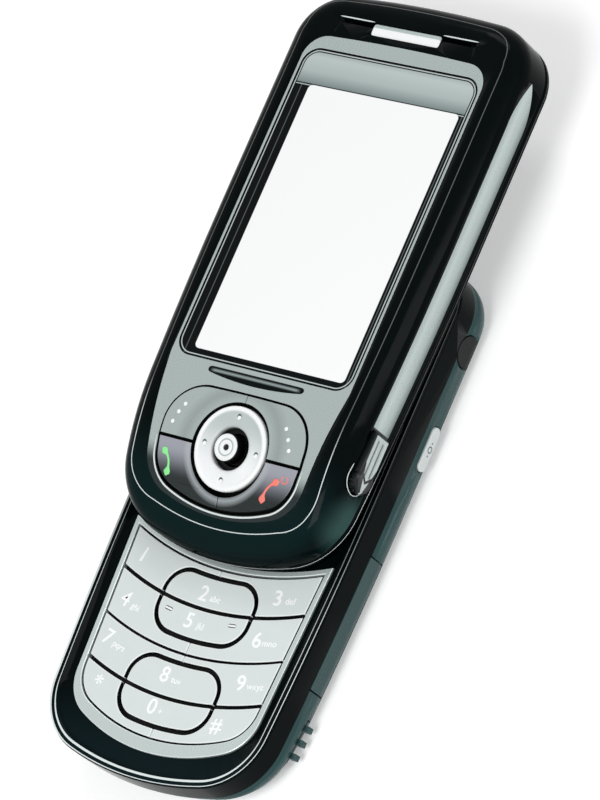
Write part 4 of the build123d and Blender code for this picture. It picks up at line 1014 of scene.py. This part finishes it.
class PHONE_OT_side_key(bpy.types.Operator):
    """Long side key in its recess, with a bright bead round the recess edge that is a painted highlight."""

    bl_idname = "phone.side_key"
    bl_label = "Side key"

    def execute(self, context):
        dress("side_key", [side_key_finish()])
        low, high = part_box("side_key")
        middle, reach = (low.z + high.z) / 2, (high.z - low.z) / 2 + 0.0004
        heel = low.y + reach
        turn = np.linspace(0, pi, 40)
        long_leg = np.linspace(high.y - 0.0006, heel, 40)[:-1]
        short_leg = np.linspace(low.y + 0.0042, heel, 40)[:-1]
        y = np.concatenate([long_leg, heel - (reach + 0.0004) * np.sin(turn), short_leg[::-1]])
        z = middle + reach * np.concatenate([np.full(39, -1.0), -np.cos(turn), np.full(39, 1.0)])
        past = np.maximum(z - (face_height(y) - edge_round), 0)
        drawn = np.maximum(slider_low + side_run - y, 0) ** 2 / (2 * side_radius)
        roll = np.sqrt(edge_round**2 - past**2)
        path = np.column_stack([half_width - drawn - edge_round + roll, y, z])
        outward = np.column_stack([roll, np.zeros(len(y)), past]) / edge_round
        wide = 0.00009 * tapered(len(y), 12)
        # Painted highlight round the edge of the key's recess
        line = painted_highlight_line("key_outline_highlight", 0.006, 0.030)
        bead("side_key_outline", path, outward, wide, 0.00004, line, "slider", False)
        return {"FINISHED"}


class PHONE_OT_upper_keys(bpy.types.Operator):
    """Soft keys, call and end keys and the five-way key, with their marks."""

    bl_idname = "phone.upper_keys"
    bl_label = "Upper keys"

    def execute(self, context):
        # Painted shade for the upright walls of the upper keys
        wall = painted_shade_wall("upper_key_wall_shade")
        soft = soft_key_finish()
        lower = lower_key_finish()
        for node in ("soft_key_left", "soft_key_right"):
            dress(node, [soft, wall], sizes().key_round)
        for node in ("call_key", "end_key"):
            dress(node, [lower, wall], sizes().key_round)
        ring = surface("nav_ring_skin", turned_ring(), ring_finish(), "nav_ring", True, True)
        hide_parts("nav_ring")
        knob = surface("nav_knob_skin", turned_knob(), knob_finish(), "nav_knob", False, True)
        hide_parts("nav_knob")
        white = satin("mark_white", (0.93, 0.95, 0.95), 1.03, 0.3)
        marks = {"soft_key_left": ((-11.6, 11.1), (-12.4, 9.6), (-13.0, 7.8)),
                 "soft_key_right": ((9.8, 11.2), (10.9, 9.5), (11.7, 7.8))}
        for node, places in marks.items():
            for number, (x, y) in enumerate(places, 1):
                name = f"{node}_dot_{number}"
                centre = (x * mm, y * mm, face_height(y * mm) + 0.00015)
                pip(name, centre, face_outward(y * mm)[0], 0.00036, 0.00006, white, node)
        green = satin("call_mark", colours().call, 1.1, 0.35)
        red = satin("end_mark", colours().hang_up, 1.1, 0.35)
        handset("call_mark", (-12.5, 3.6), (-10.7, -0.6), 0.0010, green, "call_key")
        handset("end_mark", (10.9, 3.2), (8.2, -0.9), -0.0009, red, "end_key")
        power_x, power_y, power_radius, gap = 0.0126, 0.0031, 0.00062, 0.6
        plan, _ = arc(power_x, power_y, power_radius, gap + pi / 2, 2 * pi - gap + pi / 2, 40)
        path = np.column_stack([plan, face_height(plan[:, 1]) + 0.00016])
        outward = face_outward(power_y)
        bead("power_mark", path, outward, 0.00011, 0.00005, red, "end_key", False)
        return {"FINISHED"}


class PHONE_OT_number_keys(bpy.types.Operator):
    """Number keys with their figures, and the frame round them."""

    bl_idname = "phone.number_keys"
    bl_label = "Number keys"

    def execute(self, context):
        key = satin("number_key_satin", colours().keys, 1.05, 0.3)
        # Painted shade for the walls of the number keys
        wall = painted_shade_wall("number_key_wall_shade")
        # Painted highlight for the keys' softened edges
        edge = satin("number_key_edge_highlight", (0.83, 0.88, 0.87), 1.04, 0.25)
        silver = metallic_paint("frame_silver", colours().silver, 1.06, 0.25, 0.35)
        # Painted highlight for the frame's softened edges
        bright = metallic_paint("frame_edge_highlight", colours().bright, 1.05, 0.2, 0.3)
        dress("keypad_frame", [silver, silver, bright], 0.00016)
        ink = satin("figure_white", (0.95, 0.97, 0.97), 1.02, 0.4)
        height, small = sizes().figure_height, sizes().figure_height * 0.42
        for node, figure, letters, x, y in NUMBER_KEYS:
            dress(node, [key, wall, edge], sizes().key_round)
            x, y = x * mm, y * mm
            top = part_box(node)[1].z + sizes().figure_relief * 0.4
            turn = np.arcsin(x / row_radius) * 0.7
            lettering(node + "_figure", figure, height, x, y, top, turn, ink, node)
            if letters:
                step = small + 0.0004 + 0.00036 * len(letters)
                x, y = x + step * cos(turn), y + step * sin(turn) - 0.00035
                lettering(node + "_letters", letters, small, x, y, top, turn, ink, node)
        dark = satin("guide_dark", (0.05, 0.06, 0.06), 1.2, 0.3)
        along = np.linspace(-1, 1, 24)
        ends = round_ended(along, 6)
        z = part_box("key_5")[1].z
        for name, x, y in (("guide_left", -6.94, -20.41), ("guide_right", 6.56, -20.38)):
            turn = x * mm / row_radius
            plan = np.array([x, y]) * mm + 0.00085 * along[:, None] * np.array([cos(turn), sin(turn)])
            seat = at_level(plan, z)
            bead(name + "_seat", seat, upward, 0.00034 * ends, 0.00003, dark, "key_5", False)
            path = at_level(plan, z + 0.00003)
            bead(name, path, upward, 0.00018 * ends, 0.0001 * ends, ink, "key_5", False)
        return {"FINISHED"}


class PHONE_OT_edge_pieces(bpy.types.Operator):
    """Camera key and headset cover on the right edge."""

    bl_idname = "phone.edge_pieces"
    bl_label = "Edge pieces"

    def execute(self, context):
        dress("camera_key", [camera_key_finish()], sizes().key_round)
        rubber = rubber_finish("cover_rubber_black", (0.003, 0.004, 0.004))
        dress("jack_cover", [rubber], 0.0001)
        return {"FINISHED"}


class PHONE_OT_inside(bpy.types.Operator):
    """Finishes of the pieces inside and of the slide."""

    bl_idname = "phone.inside"
    bl_label = "Inside"

    def execute(self, context):
        even = (1, 1, 1)
        finishes = {
            "display_module": satin("panel_white", (0.8, 0.82, 0.82)),
            "display_frame": satin("tray_dark", (0.02, 0.022, 0.024)),
            "earpiece_speaker": satin("speaker_dark", (0.004, 0.005, 0.005)),
            "slide_rail": sheet_metal("rail_steel", (0.42, 0.43, 0.45)),
            "slider_screws": sheet_metal("screw_steel", steel, 0.2, even),
            "base_screws": sheet_metal("screw_steel_low", steel, 0.2, even),
            "slider_board": rubber_finish("board_mask_black", (0.002, 0.003, 0.003)),
            "main_board": board_finish("main_board_mask"),
            "upper_key_mat": rubber_finish("mat_silicone", mat_black),
            "nav_pad": rubber_finish("pad_silicone", mat_black),
            "key_mat": rubber_finish("key_mat_black", mat_black),
            "dome_sheet": satin("dome_film", (0.5, 0.52, 0.5)),
            "battery": satin("battery_wrap", (0.09, 0.1, 0.11)),
            "sim_holder": sheet_metal("holder_steel", steel),
            "battery_contacts": plated("contact_gold", (0.75, 0.52, 0.22)),
            "headset_jack": satin("jack_plastic", (0.012, 0.013, 0.014)),
            "io_connector": sheet_metal("connector_steel", (0.5, 0.51, 0.53)),
            "carriage_plate": sheet_metal("carriage_steel", (0.38, 0.39, 0.41)),
            "slide_shoes": satin("shoe_acetal", (0.75, 0.74, 0.70)),
            "assist_spring": sheet_metal("spring_wire", (0.4, 0.41, 0.43), 0.2, even),
            "camera_module": satin("camera_black", (0.012, 0.012, 0.013)),
            "camera_window": lacquer("window_tint", (0.004, 0.005, 0.007)),
            "loudspeaker": satin("loudspeaker_dark", (0.02, 0.02, 0.022)),
            "vibration_motor": sheet_metal("motor_steel", steel),
            "microphone": sheet_metal("microphone_steel", steel),
            "antenna": plated("antenna_copper", (0.7, 0.42, 0.22), 0.2),
        }
        for node, finish in finishes.items():
            paint_node(node, finish)
        flex = dress("flex_cable", [satin("flex_film", (0.36, 0.16, 0.035), 1.2, 0.2)], rides=False)
        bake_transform(flex)
        return {"FINISHED"}


class PHONE_OT_stage(bpy.types.Operator):
    """Floor, soft light, white surround and the camera at the photograph's angle."""

    bl_idname = "phone.stage"
    bl_label = "Stage"

    def execute(self, context):
        scene = bpy.context.scene
        scene.view_settings.view_transform = "Standard"
        finish = Finish("floor_white")
        finish.link("Base Color", finish.blend(finish.noise(8, 3), (0.88, 0.88, 0.88), (0.9, 0.9, 0.9)))
        finish.link("Emission Strength", finish.join("MULTIPLY", white_rays(finish.tree), 0.3))
        finish.surface["Emission Color"].default_value = (1, 1, 1, 1)
        finish.surface["Roughness"].default_value = 0.9
        u = np.linspace(-3, 3, 9)
        grid = np.stack(np.broadcast_arrays(u[:, None], u[None, :], -0.00001), axis=-1)
        surface("floor", grid, finish.material, None)
        world = bpy.data.worlds.new("studio")
        world.use_nodes = True
        scene.world = world
        tree = world.node_tree
        back = tree.nodes["Background"].inputs
        back["Color"].default_value = (1, 1, 1, 1)
        level = add_node(tree, "MapRange", {"Value": white_rays(tree), "To Min": 0.32, "To Max": 1.0})
        tree.links.new(level, back["Strength"])
        for name, place, size, power in (
            ("key_light", (0.10, -0.35, 0.60), (0.30, 0.30), 2.8),
            ("fill_light", (0.50, 0.15, 0.30), (0.10, 0.50), 0.8),
            ("back_light", (-0.15, 0.55, 0.40), (0.40, 0.15), 1.0),
        ):
            lamp = bpy.data.lights.new(name, "AREA")
            lamp.shape = "RECTANGLE"
            lamp.size, lamp.size_y = size
            lamp.energy = power
            thing = set_down(name, lamp)
            thing.location = place
            aim = Vector((0, 0.02, 0.01)) - Vector(place)
            thing.rotation_euler = aim.to_track_quat("-Z", "Y").to_euler()
        # The picture's right, down and depth in the phone's frame, and the way to the target along them in mm
        target = Vector((0, 17.5, 17.5))
        right = Vector((0.7824, 0.3891, -0.4862))
        down = Vector((0.197, -0.8953, -0.3995))
        ahead = Vector((-0.5908, 0.2168, -0.7772))
        shift = Vector((-5.0548, -0.8741, 850.0))
        focal_pixels, picture_pixels, sensor = 5125.4, 800, 36
        place = target - right * shift.x - down * shift.y - ahead * shift.z
        view = bpy.data.cameras.new("view")
        view.lens = focal_pixels * sensor / picture_pixels
        view.sensor_width = sensor
        view.clip_start = 0.01
        view.clip_end = 20
        camera = set_down("view", view)
        turn = Matrix((right, -down, -ahead)).transposed().to_4x4()
        camera.matrix_world = Matrix.Translation(place * mm) @ turn
        scene.camera = camera
        return {"FINISHED"}


def white_rays(tree):
    """One for rays from the camera, off gloss and through glass, and nought for the others."""
    rays = tree.nodes.new("ShaderNodeLightPath").outputs
    value = rays["Is Camera Ray"]
    for name in ("Is Glossy Ray", "Is Transmission Ray"):
        value = add_node(tree, "Math", {0: value, 1: rays[name]}, operation="MAXIMUM")
    return value


class PHONE_PT_panel(bpy.types.Panel):
    """Lists the phone's steps in the sidebar."""

    bl_label = "Slide phone"
    bl_idname = "PHONE_PT_panel"
    bl_space_type = "VIEW_3D"
    bl_region_type = "UI"
    bl_category = "Phone"

    def draw(self, context):
        for step in STEPS:
            self.layout.operator(step.bl_idname)


STEPS = (PHONE_OT_shells, PHONE_OT_front, PHONE_OT_side_key, PHONE_OT_upper_keys, PHONE_OT_number_keys,
         PHONE_OT_edge_pieces, PHONE_OT_inside, PHONE_OT_stage)
CLASSES = (PhoneColours, PhoneSizes, *STEPS, PHONE_PT_panel)


def register():
    for kind in CLASSES:
        bpy.utils.register_class(kind)
    bpy.types.Scene.phone_colours = bpy.props.PointerProperty(type=PhoneColours)
    bpy.types.Scene.phone_sizes = bpy.props.PointerProperty(type=PhoneSizes)


def unregister():
    del bpy.types.Scene.phone_sizes
    del bpy.types.Scene.phone_colours
    for kind in reversed(CLASSES):
        bpy.utils.unregister_class(kind)


def main():
    """Runs every step in order."""
    register()
    bpy.ops.phone.shells()
    bpy.ops.phone.front()
    bpy.ops.phone.side_key()
    bpy.ops.phone.upper_keys()
    bpy.ops.phone.number_keys()
    bpy.ops.phone.edge_pieces()
    bpy.ops.phone.inside()
    bpy.ops.phone.stage()


if __name__ == "__main__":
    main()
